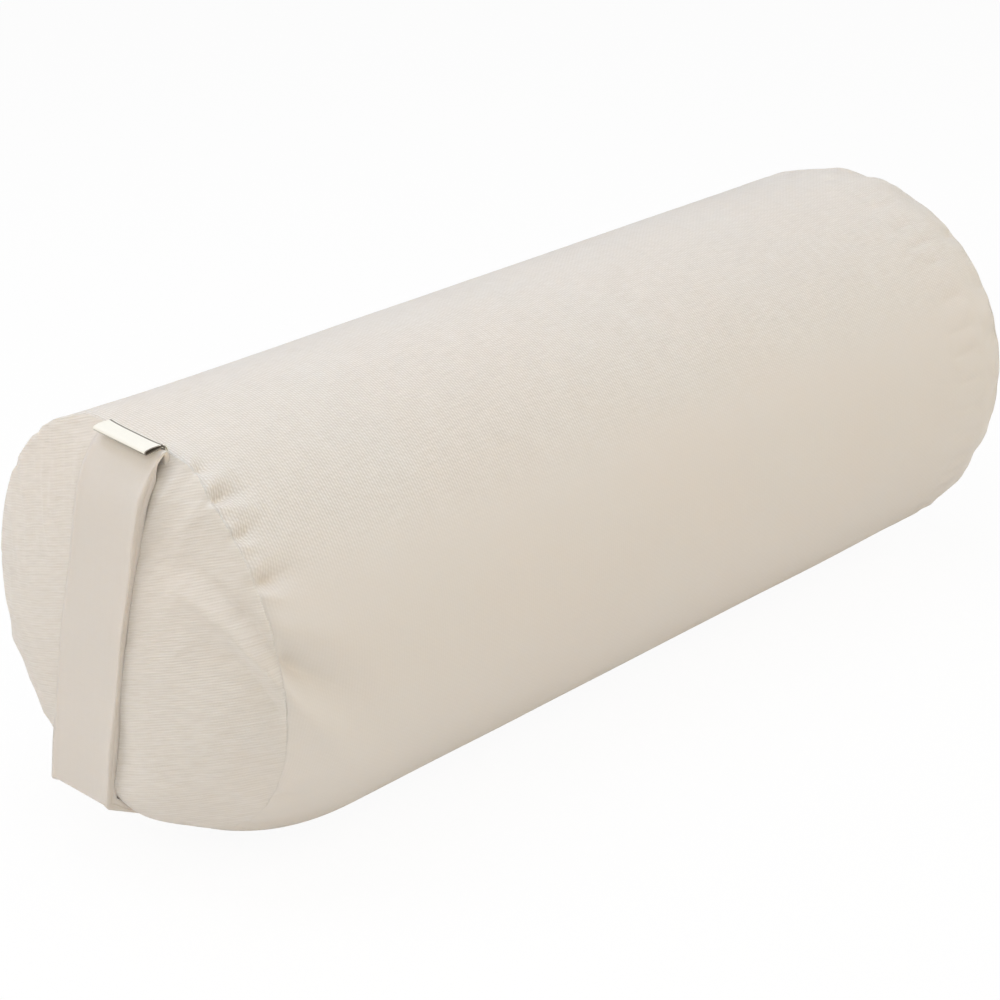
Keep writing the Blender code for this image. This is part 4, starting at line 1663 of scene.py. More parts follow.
def smoothed(route: Grid, rounds: int) -> Grid:
    """Relax a route, with its two ends held.

    Args:
        route: its points.
        rounds: how often each point moves towards its neighbours.

    Returns:
        The relaxed points.
    """
    for _ in range(rounds):
        route = route.copy()
        route[1:-1] = route[1:-1] * 0.5 + (route[:-2] + route[2:]) * 0.25
    return route


def spread_evenly(route: Places, spacing: float) -> Grid:
    """Put points along a route at an even spacing, and relax them a little.

    Args:
        route: its corners.
        spacing: the distance between points.

    Returns:
        The points.
    """
    points = np.array(route)
    steps = np.linalg.norm(np.diff(points, axis=0), axis=1)
    length = np.concatenate([[0], np.cumsum(steps)])
    even = np.linspace(0, length[-1], max(int(length[-1] / spacing), 2) + 1)
    return smoothed(np.stack([np.interp(even, length, points[:, axis]) for axis in (0, 1)], 1), 2)


def beside(route: Grid) -> Grid:
    """Find the steps to the inner side of a route.

    Args:
        route: its points.

    Returns:
        A step of length 1 at each point.
    """
    ahead = np.gradient(route, axis=0)
    ahead /= np.linalg.norm(ahead, axis=1, keepdims=True)
    return np.stack([ahead[:, 1], -ahead[:, 0]], 1)


@dataclass
class Band:
    """A flat band bent along a route, with a closed outline of its own.

    Its map runs from 0 to 1 along the route, and from 0 to 1 across the width on the inner side
    and from 1 to 2 back on the outer side. Grids hold a value by route and by outline.
    """

    form: CushionForm
    route: Grid
    outline: Grid
    across: Grid
    slide: Grid
    lift: Grid | float = 0.0
    swell: Grid | None = None

    def points(self) -> Grid:
        """Place the outline along the route.

        Returns:
            Route by outline by 3.
        """
        side = beside(self.route)
        thick = self.outline[None, :, 1]
        out = self.route[:, None, 0] + side[:, None, 0] * thick + self.lift
        along = self.route[:, None, 1] + side[:, None, 1] * thick + self.slide
        if self.swell is not None:
            depth = thick / np.ptp(thick) + 0.5
            out = out + self.swell[..., 0] * depth
            along = along + self.swell[..., 1] * depth
        return self.form.from_strap(out, self.across, along)

    def mesh(self, name: str) -> bpy.types.Mesh:
        """Skin the band and lay out its map.

        Args:
            name: the mesh's name.

        Returns:
            The mesh.
        """
        mesh = skin(name, self.points(), around=True)
        count = len(self.outline)
        share = (self.outline[:, 0] - self.outline[:, 0].min()) / np.ptp(self.outline[:, 0])
        share = np.where(self.outline[:, 1] >= 0, share, 2 - share)
        with opened(mesh) as solid:
            close_ends(solid, count)
            layer = solid.loops.layers.uv.new(BAND_MAP)
            for loop in (loop for face in solid.faces for loop in face.loops):
                row, column = divmod(loop.vert.index, count)
                loop[layer].uv = (row / (len(self.route) - 1), share[column])
        return mesh


def band_outline(width: float, thickness: float, flank: int, layers: int = 1) -> Grid:
    """Closed outline (across, thick) of a band of one or two layers with rounded edges.

    Args:
        width: the band's width.
        thickness: its thickness.
        flank: points on each flat side.
        layers: how many layers of cloth its edges show.

    Returns:
        The points in order.
    """
    furrow, furrow_fade, inset = 0.00025, 0.004, 0.0004
    radius = thickness / 2 / layers
    inner = width / 2 - radius
    flat = np.linspace(-inner, inner, flank)
    dip = furrow * (layers - 1) * smooth((inner - np.abs(flat)) / furrow_fade)
    top = np.stack([flat, thickness / 2 - dip], 1)
    turn = np.linspace(0, math.pi, 9)[1:-1]
    right = []
    for layer in range(layers):
        middle = thickness / 2 - radius * (1 + 2 * layer)
        edge = inner - inset * layer
        right += [(edge + radius * math.sin(a), middle + radius * math.cos(a)) for a in turn]
        if layer + 1 < layers:
            right.append((inner + 0.25 * radius, middle - radius))
    right = np.array(right)
    bottom = np.stack([flat[::-1], -(thickness / 2 - dip)[::-1]], 1)
    return np.concatenate([top, right, bottom, -right])


@dataclass
class StrapAndLabel:
    """The carry strap over the near end and the folded label in the same seam."""

    form: CushionForm
    finishes: Finishes
    panel: Cloth
    thickness: float = 0.002
    extra_top: float = 0.0046
    extra_low: float = 0.0048
    panel_gap: float = 0.0001
    line: tuple[tuple[float, float], ...] = (
        (0.1069, 0.0088), (0.0936, 0.0153), (0.0747, 0.0192), (0.0406, 0.0236),
        (0.0028, 0.028), (-0.0351, 0.0325), (-0.0729, 0.0348),
    )
    line_steps: int = 12
    level_span: float = 0.035
    top_span: float = 0.03
    fold_radius: float = 0.0016
    spacing: float = 0.0009
    free_top: float = 0.02
    free_low: float = 0.03
    lift: float = 0.0003
    lift_waves: tuple[float, float] = (95, 40)
    wander: float = 0.0004
    wander_wave: tuple[float, float] = (60, 0.8)
    tail: float = 0.008
    cover_wall: float = 0.001
    gap: float = 0.0003
    label_width: float = 0.038
    label_thickness: float = 0.0005
    label_reach: float = 0.0102
    label_droop: float = 0.0012
    label_loop: float = 0.0011
    label_fullness: float = 0.0006
    label_upper: tuple[float, float] = (0.5, 0.85)
    label_fade: float = 0.1
    label_spacing: float = 0.0003

    def seam_along(self, sign: int) -> float:
        """Find where the strap's middle crosses the near seam.

        Args:
            sign: 1 for the upper crossing, -1 for the lower.

        Returns:
            The place along the strap.
        """
        angle = np.array(self.form.strap_tilt + sign * QUARTER)
        y, z = self.form.section.place(angle, self.form.seam_drop(self.form.near, angle))
        return float(self.form.strap_axes(y, z)[1])

    @property
    def fold(self) -> float:
        """Place of the strap's lower fold along the strap."""
        return self.line[-1][0]

    def slope(self, along: Grid) -> Grid:
        """Find a band's slope across its width: near level at its top and below its fold.

        Args:
            along: places along the strap.

        Returns:
            The slopes.
        """
        tilt = math.tan(self.form.strap_tilt)
        top_slope = tilt - math.tan(self.form.strap_top_tilt)
        top_share = np.clip(1 - (self.seam_along(1) - along) / self.top_span, 0, 1)
        low_share = (self.fold + self.level_span - along) / self.level_span
        return top_slope * top_share + tilt * np.clip(low_share, 0, 1)

    def strap_route(self) -> Grid:
        """Lead the strap from its tail in the top seam to its tail in the bottom seam.

        Returns:
            Points (out, along).
        """
        top, bottom = self.seam_along(1), self.seam_along(-1)
        turn = self.cover_wall / 2 + 2 * self.gap + self.thickness / 2
        crest = (self.gap + self.cover_wall) / 2
        seat = -(self.gap + self.thickness) / 2
        route = [(seat, top - self.tail), (seat, top)] + arc((crest, top), turn, 120, 60)
        route += self.eased_line()
        knee = (route[-1][0] - self.fold_radius, route[-1][1])
        route += arc(knee, self.fold_radius, -20, -70)
        route += arc((crest, bottom), turn + self.gap, -75, -120)
        route += [(seat, bottom), (seat, bottom + self.tail)]
        return spread_evenly(route, self.spacing)

    def eased_line(self) -> list[tuple[float, float]]:
        """Draw a smooth curve through the strap's free line.

        Returns:
            Points (out, along).
        """
        points = np.array(self.line)
        slopes = np.empty(len(points))
        slopes[1:-1] = (points[2:, 1] - points[:-2, 1]) / (points[2:, 0] - points[:-2, 0])
        slopes[0] = (points[1, 1] - points[0, 1]) / (points[1, 0] - points[0, 0])
        slopes[-1] = (points[-1, 1] - points[-2, 1]) / (points[-1, 0] - points[-2, 0])
        line = []
        for index, (first, second) in enumerate(zip(points, points[1:])):
            run = second[0] - first[0]
            for share in np.linspace(0, 1, self.line_steps, endpoint=False):
                rest = 1 - share
                out = first[1] * rest**2 * (1 + 2 * share) + second[1] * share**2 * (1 + 2 * rest)
                out += run * share * rest * (slopes[index] * rest - slopes[index + 1] * share)
                line.append((out, first[0] + run * share))
        return line + [(points[-1, 1], points[-1, 0])]

    def swelling(self, route: Grid, across: Grid) -> Grid:
        """Part the strap's inner layer from its outer one, as far as the panel allows.

        Args:
            route: the strap's route.
            across: places across its width.

        Returns:
            Steps (out, along) of the inner side, by route and by width.
        """
        top, bottom, along = self.seam_along(1), self.seam_along(-1), route[:, 1]
        clear, top_fade, low_fade = 0.001, 0.009, 0.006
        first, last, ends, rounds = 0.04, 0.94, 0.03, 8
        number = np.arange(len(route)) / len(route)
        share = np.clip((top - along) / (top - self.fold), 0, 1)
        loose = smooth((top - clear - along) / top_fade) * smooth((number - first) / ends)
        loose = loose * smooth((along - bottom - clear) / low_fade)
        loose = loose * smooth((last - number) / ends)
        depth = loose * (self.extra_top + (self.extra_low - self.extra_top) * share)
        plain = route + beside(route) * self.thickness / 2
        room = np.maximum(self.room(plain, across) - self.panel_gap, 0)
        depth = np.minimum(depth[:, None], room)[..., None]
        plain = np.broadcast_to(plain[:, None], (*depth.shape[:2], 2))
        parted = smoothed(plain + beside(route)[:, None] * depth, rounds)
        return (parted - plain) * smooth(depth / clear)

    def room(self, inner: Grid, across: Grid) -> Grid:
        """Measure the strap's inner side from the end panel.

        Args:
            inner: route of the inner side.
            across: places across its width.

        Returns:
            The distances, by route and by width.
        """
        ahead = inner + beside(inner) * MM
        slope = self.slope(inner[:, 1])
        columns = []
        for place in across:
            wide = self.form.strap_offset + place + np.zeros(len(inner))
            drop = place * slope
            points = self.form.from_strap(inner[:, 0], wide, inner[:, 1] - drop)
            steps = self.form.from_strap(ahead[:, 0], wide, ahead[:, 1] - drop) - points
            columns.append(self.panel.room(points, steps, self.extra_low + MM))
        return np.stack(columns, 1)

    def strap(self) -> None:
        """Build the strap: a little twisted, thicker where it is free, level at its low end."""
        route = self.strap_route()
        along = route[:, 1][:, None]
        outline = band_outline(self.form.strap_width, self.thickness, flank=25, layers=2)
        across = np.broadcast_to(outline[None, :, 0], (len(route), len(outline)))
        free = smooth((self.seam_along(1) - along) / self.free_top)
        free = free * smooth((along - self.fold) / self.free_low)
        lengthwise, crosswise = self.lift_waves
        lift = free * self.lift * np.sin(along * lengthwise + across * crosswise)
        bends, start = self.wander_wave
        wander = self.wander * np.sin(along * bends + start) * free
        band = Band(self.form, route, outline, self.form.strap_offset + across + wander,
                    -across * self.slope(along), lift, self.swelling(route, outline[:, 0]))
        name = "carry_strap_band"
        new_piece(name, band.mesh(name), self.finishes.strap, "carry_strap")

    def label_route(self) -> Grid:
        """Lead the label out over the strap, round its fold and back.

        Returns:
            Points (out, along).
        """
        top, thick = self.seam_along(1), self.label_thickness
        inner_seat = -(self.gap / 2 + self.thickness + self.gap + thick / 2)
        outer_seat = inner_seat - thick - self.gap
        crest = top + self.cover_wall / 2 + 3 * self.gap + self.thickness + thick / 2
        bend = crest - top
        upper_bend = bend + thick + self.gap
        tip = (self.label_reach - self.label_loop, crest + self.label_loop - self.label_droop)
        route = [(inner_seat, top - self.tail)]
        route += arc((inner_seat + bend, top), bend, 180, 90)
        route += arc(tip, self.label_loop, -90, 90, 14)
        route += arc((outer_seat + upper_bend, top), upper_bend, 90, 180)
        route += [(outer_seat, top - self.tail)]
        return spread_evenly(route, self.label_spacing)

    def label(self) -> None:
        """Build the bare label: a straight loop with its open ends a little fuller."""
        route = self.label_route()
        outline = band_outline(self.label_width, self.label_thickness, flank=21)
        across = np.broadcast_to(outline[None, :, 0], (len(route), len(outline)))
        share = np.linspace(0, 1, len(route))[:, None]
        fuller = self.label_fullness * (across / (self.label_width / 2)) ** 4
        start, end = self.label_upper
        upper = smooth((share - start) / self.label_fade) * smooth((end - share) / self.label_fade)
        slide = fuller * upper - across * self.slope(route[:, 1][:, None])
        band = Band(self.form, route, outline, self.form.strap_offset + across, slide)
        name = "seam_label_loop"
        new_piece(name, band.mesh(name), self.finishes.label, "seam_label")

    def build(self) -> None:
        """Build both bands."""
        self.strap()
        self.label()


# Zip


def tube(path: Grid, radius: Grid | float, sides: int) -> tuple[Grid, Grid]:
    """Points and faces of a round thread along a path.

    Args:
        path: points of its centre line.
        radius: its radius, one for all or one for each point.
        sides: number of faces around.

    Returns:
        The points, and the faces as rows of four numbers.
    """
    ahead = np.gradient(path, axis=0)
    ahead /= np.linalg.norm(ahead, axis=1, keepdims=True)
    up = np.array([0.0, -ZIP_SINE, ZIP_COSINE]) + 1e-3
    side = np.cross(ahead, up)
    side /= np.linalg.norm(side, axis=1, keepdims=True)
    lift = np.cross(side, ahead)
    turn = np.arange(sides) * TURN / sides
    radius = np.broadcast_to(radius, (len(path),))[:, None, None]
    ringed = side[:, None] * np.cos(turn)[None, :, None]
    ringed = ringed + lift[:, None] * np.sin(turn)[None, :, None]
    points = (path[:, None] + ringed * radius).reshape(-1, 3)
    return points, quads_of(len(path), sides, True)


@dataclass(frozen=True)
class ZipLine:
    """Line of the zip on the hidden upper back, with directions across it and outwards."""

    centre: tuple[float, float] = (0.102920, 0.164382)
    outward: tuple[float, float] = (ZIP_COSINE, ZIP_SINE)
    tape_start: float = -0.2178
    tape_end: float = 0.2538
    slot_start: float = -0.2056
    slot_end: float = 0.2416
    chain_start: float = -0.2024
    chain_end: float = 0.2384

    @property
    def normal(self) -> Vector:
        """Direction outwards."""
        return Vector((0.0, *self.outward))

    def place(self, x: Grid, across: Grid, rise: Grid) -> Grid:
        """Place points that are measured in the zip's directions.

        Args:
            x: places along it.
            across: distances across it.
            rise: distances out of it.

        Returns:
            The points.
        """
        x, across, rise = np.broadcast_arrays(x, across, rise)
        y = self.centre[0] - across * self.outward[1] + rise * self.outward[0]
        z = self.centre[1] + across * self.outward[0] + rise * self.outward[1]
        return np.stack([x, y, z], -1)


@dataclass
class Zip:
    """Tapes, coils, stops, slider and pull."""

    finishes: Finishes
    line: ZipLine = ZipLine()
    barrel_radius: float = 0.115
    tape_rows: int = 221
    tape_columns: int = 16
    tape_inner: float = 0.0007
    tape_width: float = 0.015
    tape_top: float = -0.0013
    tape_wall: float = 0.0006
    tape_edge: float = 0.00008
    tape_ripple: float = 0.00006
    ripple_waves: tuple[float, float] = (900, 700)
    edge_wave: float = 2.1
    cord: float = 0.0001
    cord_place: float = 0.0042
    cord_width: float = 0.0005
    pitch: float = 0.0015
    chain_margin: float = 0.0006
    lock_margin: float = 0.0009
    filament: float = 0.00029
    coil_inner: float = 0.00076
    coil_outer: float = 0.00264
    coil_low: float = -0.00064
    coil_high: float = 0.00044
    coil_lean: float = 0.22
    head: float = 0.22
    squareness: float = 0.75
    turn_steps: int = 12
    lock_rise: float = 0.00076
    lock_bob: float = 0.00009
    lock_thread: float = 0.00013
    lock_middle: float = 0.0003
    lock_apart: float = 0.00042
    lock_sway: float = 0.00006
    stop_bevel: float = 0.00035
    slider_bevel: float = 0.00022

    def tape(self, side: int, name: str, node: str) -> None:
        """Weave one tape, curved with the barrel, with a thicker cord along its chain edge.

        Args:
            side: 1 for the upper tape, -1 for the lower.
            name: the piece's name.
            node: the node that it stands for.
        """
        wide = self.tape_inner + np.linspace(0, self.tape_width, self.tape_columns)
        x = np.linspace(self.line.tape_start, self.line.tape_end, self.tape_rows)[:, None]
        edge = self.tape_edge * np.sin(np.arange(self.tape_rows) * self.edge_wave)[:, None]
        across = np.concatenate([wide, wide[::-1]])[None, :]
        drop = across**2 / (2 * self.barrel_radius)
        lengthwise, crosswise = self.ripple_waves
        ripple = self.tape_ripple * np.sin(x * lengthwise + across * crosswise)
        cord = (across - self.tape_inner - self.cord_place) / self.cord_width
        face = ripple + self.cord * np.exp(-(cord**2)) - self.tape_ripple
        back = np.repeat([False, True], self.tape_columns)[None, :]
        rise = self.tape_top - drop + np.where(back, -self.tape_wall, face)
        across = across + edge * (across > self.tape_width)
        points = self.line.place(x, side * across, rise)
        mesh = skin(name, points, around=True, flip=side < 0)
        with opened(mesh) as solid:
            close_ends(solid, 2 * self.tape_columns)
        new_piece(name, mesh, self.finishes.tape, node)

    def coil(self, side: int, name: str, node: str) -> None:
        """Wind one coil of flattened loops and the two threads that lock it to its tape.

        Args:
            side: 1 for the upper coil, -1 for the lower.
            name: the piece's name.
            node: the node that it stands for.
        """
        start = self.line.chain_start
        turns = int((self.line.chain_end - start - 2 * self.chain_margin) / self.pitch)
        step = np.arange(turns * self.turn_steps + 1) / self.turn_steps
        angle = step * TURN
        middle = (self.coil_inner + self.coil_outer) / 2
        half = (self.coil_outer - self.coil_inner) / 2
        squared = np.sign(np.cos(angle)) * np.abs(np.cos(angle)) ** self.squareness
        across = middle - half * squared
        rise = (self.coil_low + self.coil_high) / 2
        rise = rise + (self.coil_high - self.coil_low) / 2 * np.sin(angle)
        shift = 0.25 if side > 0 else 0.75
        lean = self.coil_lean * self.pitch * np.sin(angle)
        x = start + self.chain_margin + (step + shift) * self.pitch + lean
        path = self.line.place(x, side * across, rise)
        head = 1 + self.head * np.clip(squared, 0, 1) ** 4
        parts = [tube(path, self.filament * head, sides=6)]
        beats = np.arange(turns * 4 + 1) / 4
        place = start + self.lock_margin + (beats + shift) * self.pitch
        bob = self.lock_rise + self.lock_bob * np.cos(beats * TURN)
        for offset in (-self.lock_apart, self.lock_apart):
            sway = middle + self.lock_middle + offset
            sway = sway + self.lock_sway * np.sin(beats * TURN / 2)
            thread = self.line.place(place, side * sway, bob)
            parts.append(tube(thread, self.lock_thread, sides=5))
        new_piece(name, joined(name, parts), self.finishes.coil, node)

    def metal(self, node: str, body: Body, bevel: float) -> None:
        """Round the edges of a copy of one of the zip's metal solids.

        Args:
            node: the node that it is copied from and stands for.
            body: the body that carries it.
            bevel: width of the rounded edges.
        """
        flat, corner, crease = math.radians(1.5), math.radians(28), math.radians(40)
        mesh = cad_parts[node].data.copy()
        mesh.name = name = node + "_plated"
        mesh.materials.clear()
        with opened(mesh) as solid:
            bmesh.ops.remove_doubles(solid, verts=solid.verts, dist=1e-6)
            bmesh.ops.dissolve_limit(solid, angle_limit=flat, verts=solid.verts,
                                     edges=solid.edges)
            sharp = [edge for edge in solid.edges
                     if edge.is_manifold and edge.calc_face_angle(0) > corner]
            bmesh.ops.bevel(solid, geom=sharp, offset=bevel, offset_type="OFFSET", segments=3,
                            profile=0.5, affect="EDGES", clamp_overlap=True)
            bmesh.ops.recalc_face_normals(solid, faces=solid.faces)
        mesh.shade_smooth()
        mesh.set_sharp_from_angle(angle=crease)
        new_piece(name, mesh, self.finishes.metal, node, body=body)

    def build(self) -> None:
        """Build every piece of the zip."""
        for make, kind in ((self.tape, "tape"), (self.coil, "coil")):
            for side, place in ((1, "upper"), (-1, "lower")):
                make(side, f"{place}_{kind}", f"zip_{kind}_{place}")
        for node in ("zip_top_stop_upper", "zip_top_stop_lower", "zip_bottom_stop"):
            self.metal(node, Body.CUSHION, self.stop_bevel)
        self.metal("zip_slider", Body.SLIDER, self.slider_bevel)
        self.metal("zip_pull", Body.PULL, self.slider_bevel)


@dataclass
class Stitching:
    """Topstitches beside the zip and the bartacks that close its slot's ends."""

    cloth: Cloth
    finishes: Finishes
    line: ZipLine = ZipLine()
    away: float = 0.0076
    overrun: float = 0.0075
    pitch: float = 0.0034
    short_stitches: int = 4
    gap: float = 0.0007
    thread: float = 0.00021
    bow: float = 1.35
    dive: float = 0.95
    taper: tuple[float, float] = (0.7, 0.3)
    tack_place: float = 0.0035
    tack_width: float = 0.0086
    tack_length: float = 0.0016
    tack_turns: int = 11

    def stitch(self, start: tuple[float, float], end: tuple[float, float]) -> tuple[Grid, Grid]:
        """Sew one stitch that dives into the cloth at both ends.

        Args:
            start: its first end, along and across the zip.
            end: its other end.

        Returns:
            Its points and faces.
        """
        share = np.linspace(0, 1, 9)
        x = start[0] + (end[0] - start[0]) * share
        across = start[1] + (end[1] - start[1]) * share
        landed = self.cloth.under(self.line.place(x, across, 0.0), self.line.normal)
        arch = np.sin(np.pi * share)
        lift = self.thread * (self.bow * arch**0.5 - self.dive)
        path = landed + lift[:, None] * np.array(self.line.normal)
        end_share, middle_share = self.taper
        return tube(path, self.thread * (end_share + middle_share * arch**0.4), sides=6)

    def rows(self) -> list[tuple[Grid, Grid]]:
        """Sew the two long rows of stitches and the short rows that join them.

        Returns:
            Points and faces of each stitch.
        """
        low, high = self.line.slot_start - self.overrun, self.line.slot_end + self.overrun
        half = self.gap / 2
        ends = np.linspace(low, high, int((high - low) / self.pitch) + 1)
        made = [self.stitch((first + half, across), (second - half, across))
                for across in (-self.away, self.away) for first, second in zip(ends, ends[1:])]
        sides = np.linspace(-self.away, self.away, self.short_stitches + 1)
        return made + [self.stitch((x, first + half), (x, second - half))
                       for x in (low, high) for first, second in zip(sides, sides[1:])]

    def tacks(self) -> list[tuple[Grid, Grid]]:
        """Sew the dense zigzags across both ends of the slot.

        Returns:
            Points and faces of each stitch.
        """
        made = []
        half = self.tack_width / 2
        edges = np.linspace(-half, half, 2 * self.tack_turns + 1)
        for middle in (self.line.slot_start - self.tack_place, self.line.slot_end + self.tack_place):
            for index, (first, second) in enumerate(zip(edges, edges[1:])):
                side = self.tack_length / 2 * (1 if index % 2 else -1)
                made.append(self.stitch((middle - side, first), (middle + side, second)))
        return made

    def build(self) -> None:
        """Sew everything in one piece of thread."""
        mesh = joined("zip_stitches", self.rows() + self.tacks())
        new_piece("zip_stitches", mesh, self.finishes.thread)


# Inner cushion


@dataclass
class InnerCushion:
    """The lining bag in the cover and the loose fibre in it."""

    form: CushionForm
    finishes: Finishes
    rows: int = 121
    columns: int = 160
    end_rows: int = 34
    wall: float = 0.0026
    end_wall: float = 0.0024
    fibre_wall: float = 0.0022
    set_back: float = 0.009
    rim_inset: float = 0.016
    gather: float = 0.0007
    fold_count: int = 34
    bag_relief: float = 0.0002
    fibre_relief: float = 0.0011
    dent_angle: float = math.radians(26.25)
    dent_spread: float = math.radians(30)
    dent_depth: float = 0.0024

    def dent(self, angle: Grid) -> Grid:
        """How far the bag gives way under the zip."""
        away = np.abs(turned(angle, self.dent_angle)) / self.dent_spread
        return self.dent_depth * np.cos(np.clip(away, 0, 1) * math.pi / 2) ** 2

    def tube_points(self, wall: float, seed: int, relief: float) -> Grid:
        """Shape the tube, gathered at both of its seams.

        Args:
            wall: how far inside the cover it lies.
            seed: start of its unevenness.
            relief: how deep the unevenness is.

        Returns:
            Rows by columns by 3.
        """
        form = self.form
        reach = form.half_span - self.set_back
        x = reach * np.sin(np.linspace(-QUARTER, QUARTER, self.rows))[:, None]
        angle = np.linspace(0, TURN, self.columns, endpoint=False)[None, :]
        inset = np.full((self.rows, self.columns), wall)
        gather = 0
        for end in (form.near, form.far):
            share = np.clip((reach - end.side * x) / end.shoulder, 0, 1)
            fall = form.seam_drop(end, angle) + self.rim_inset - wall
            inset = inset + fall * (1 - share) ** form.shoulder_power
            gather = gather + (1 - share) ** 6
        uneven = even_bumps(seed, count=9, angle=angle, along=x, longest=0.12)
        folds = np.cos(angle * self.fold_count + 1.5 * np.sin(angle * 5)) * self.gather * gather
        inset = inset + self.dent(angle) + relief * (1 + uneven) + folds + self.gather * gather
        y, z = form.section.place(np.broadcast_to(angle, inset.shape), inset)
        return np.stack([form.leaning(np.broadcast_to(x, y.shape), z), y, z], -1)

    def cap_points(self, end: End, wall: float, seed: int, relief: float) -> Grid:
        """Shape one round end, from its seam to its middle.

        Args:
            end: which end.
            wall: how far inside the cover it lies.
            seed: start of its unevenness.
            relief: how deep the unevenness is.

        Returns:
            Rows by columns by 3.
        """
        form = self.form
        share = np.cos(np.linspace(0, QUARTER, self.end_rows)[:-1])[:, None]
        angle = np.linspace(0, TURN, self.columns, endpoint=False)[None, :]
        uneven = even_bumps(seed, count=7, angle=angle, along=share * 0.1, longest=0.1)
        start = form.half_span - self.set_back
        rise = form.crown(end, share, angle) + (self.set_back - wall) * (1 - share**6)
        out = start + rise - relief * (1 + uneven) * (1 - share**4)
        inset = form.seam_drop(end, angle) + self.rim_inset + self.gather
        inset = np.broadcast_to(inset + self.dent(angle), out.shape)
        y, z = form.section.place(np.broadcast_to(angle, out.shape), inset, share)
        return np.stack([form.leaning(end.side * out, z), y, z], -1)

    def bag(self) -> None:
        """Build the bag's tube and its two ends."""
        name = "lining_tube"
        points = self.tube_points(self.wall, seed=5, relief=self.bag_relief)
        mesh = skin(name, points, around=True, flip=True)
        new_piece(name, mesh, self.finishes.lining, "inner_bag_barrel")
        for end, side in ((self.form.near, "near"), (self.form.far, "far")):
            name = f"lining_{side}_end"
            points = self.cap_points(end, self.end_wall, seed=7, relief=self.bag_relief)
            mesh = skin(name, points, around=True, flip=end.side < 0)
            close_middle(mesh, self.columns, end.side < 0)
            node = f"inner_bag_{side}_end"
            new_piece(name, mesh, self.finishes.lining_end, node)

    def fibre(self) -> None:
        """Build the lumpy mass of fibre that fills the bag."""
        wall = self.wall + self.fibre_wall
        rows = self.tube_points(wall, seed=17, relief=self.fibre_relief)
        near = self.cap_points(self.form.near, wall, seed=19, relief=self.fibre_relief)[::-1]
        far = self.cap_points(self.form.far, wall, seed=29, relief=self.fibre_relief)
        points = np.concatenate([near, rows[1:-1], far])
        mesh = skin("fibre_core", points, around=True, flip=True)
        with opened(mesh) as solid:
            close_ends(solid, self.columns)
        new_piece("fibre_core", mesh, self.finishes.fibre, "filling")

    def build(self) -> None:
        """Build the bag and the fibre."""
        self.bag()
        self.fibre()


# Studio


@dataclass(frozen=True)
class Lamp:
    """A large soft lamp, aimed at the bolster."""

    name: str
    place: tuple[float, float, float]
    watts: float
    colour: tuple[float, float, float]
    size: float = 1.6


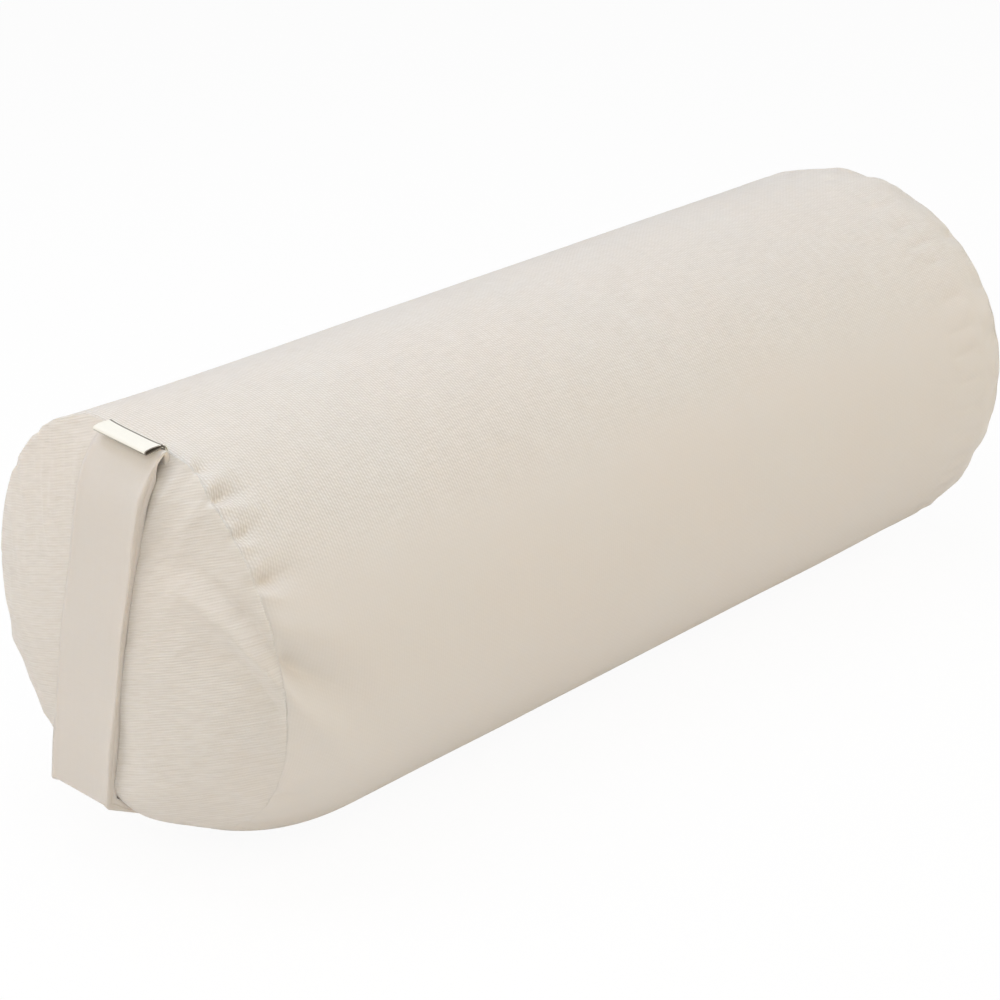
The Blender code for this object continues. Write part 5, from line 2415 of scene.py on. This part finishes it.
@dataclass
class Studio:
    """Floor, lamps, surroundings and camera."""

    camera_place: tuple[float, float, float] = (-0.9946, -0.91167, 0.70186)
    azimuth: float = math.radians(-46.3756)
    elevation: float = math.radians(24.2057)
    focal_pixels: float = 2612.5
    picture: float = 1000.0
    sensor: float = 36.0
    clip: tuple[float, float] = (0.05, 60.0)
    floor_radius: float = 14.0
    floor_colour: Colour = (0.94, 0.93, 0.915, 1.0)
    surroundings: Colour = (1.0, 1.0, 0.995, 1.0)
    strength: float = 0.25
    lamps: tuple[Lamp, ...] = (
        Lamp("top_lamp", (-0.15, 0.25, 1.9), 17.5, (0.765, 0.84, 1.0)),
        Lamp("front_lamp", (-1.5, -1.1, 1.6), 15.0, (1.0, 0.93, 0.8)),
        Lamp("left_lamp", (-1.5, 1.3, 1.3), 16.5, (1.0, 0.94, 0.88)),
        Lamp("right_lamp", (0.7, -1.8, 1.3), 10.5, (1.0, 0.85, 0.7)),
        Lamp("far_lamp", (2.0, -0.9, 1.2), 10.5, (0.98, 0.98, 0.84)),
    )
    target: tuple[float, float, float] = (0.0, 0.0, 0.1)

    def put(self, name: str, data: bpy.types.ID, place: Sequence[float],
            ahead: Vector) -> bpy.types.Object:
        """Put a camera or lamp somewhere.

        Args:
            name: its name.
            data: the camera or lamp.
            place: where it stands.
            ahead: the direction in which it looks.

        Returns:
            The object.
        """
        thing = bpy.data.objects.new(name, data)
        thing.location = place
        thing.rotation_mode = "QUATERNION"
        thing.rotation_quaternion = ahead.to_track_quat("-Z", "Y")
        bpy.context.scene.collection.objects.link(thing)
        return thing

    def camera(self) -> None:
        """Put the camera where the photograph was taken from."""
        a, e = self.azimuth, self.elevation
        back = Vector((math.sin(a) * math.cos(e), -math.cos(a) * math.cos(e), math.sin(e)))
        lens = bpy.data.cameras.new("camera")
        lens.sensor_width = self.sensor
        lens.lens = self.focal_pixels * self.sensor / self.picture
        lens.clip_start, lens.clip_end = self.clip
        bpy.context.scene.camera = self.put("camera", lens, self.camera_place, -back)

    def floor(self) -> None:
        """Lay a plain round floor."""
        mesh = bpy.data.meshes.new("floor")
        with opened(mesh) as disc:
            bmesh.ops.create_circle(disc, cap_ends=True, segments=96, radius=self.floor_radius)
        mesh.materials.append(FloorFinish("floor_white", self.floor_colour).make())
        thing = bpy.data.objects.new("floor", mesh)
        bpy.context.scene.collection.objects.link(thing)

    def light(self) -> None:
        """Hang the lamps and light the surroundings evenly."""
        for lamp in self.lamps:
            light = bpy.data.lights.new(lamp.name, "AREA")
            light.shape = "DISK"
            light.size = lamp.size
            light.energy = lamp.watts
            light.color = lamp.colour
            self.put(lamp.name, light, lamp.place, Vector(self.target) - Vector(lamp.place))
        world = bpy.data.worlds.new("surroundings")
        bpy.context.scene.world = world
        bench = Bench(world)
        room, white = (
            bench.node("ShaderNodeBackground", None, {"Color": colour, "Strength": strength})
            for colour, strength in ((self.surroundings, self.strength), ((1.0,) * 4, 1.0))
        )
        bench.close("World", bench.blend(bench.seen(), room, white))

    def build(self) -> None:
        """Set the studio up."""
        self.camera()
        self.floor()
        self.light()
        bpy.context.scene.view_settings.view_transform = "Standard"


def main() -> None:
    """Build the bolster piece by piece."""
    logging.basicConfig(level=logging.INFO, format="%(name)s: %(message)s")
    Studio().build()
    finishes, form = Finishes(), CushionForm()
    barrel, near_panel = Cover(form, finishes).build()
    StrapAndLabel(form, finishes, near_panel).build()
    Zip(finishes).build()
    Stitching(barrel, finishes).build()
    InnerCushion(form, finishes).build()


if __name__ == "__main__":
    main()
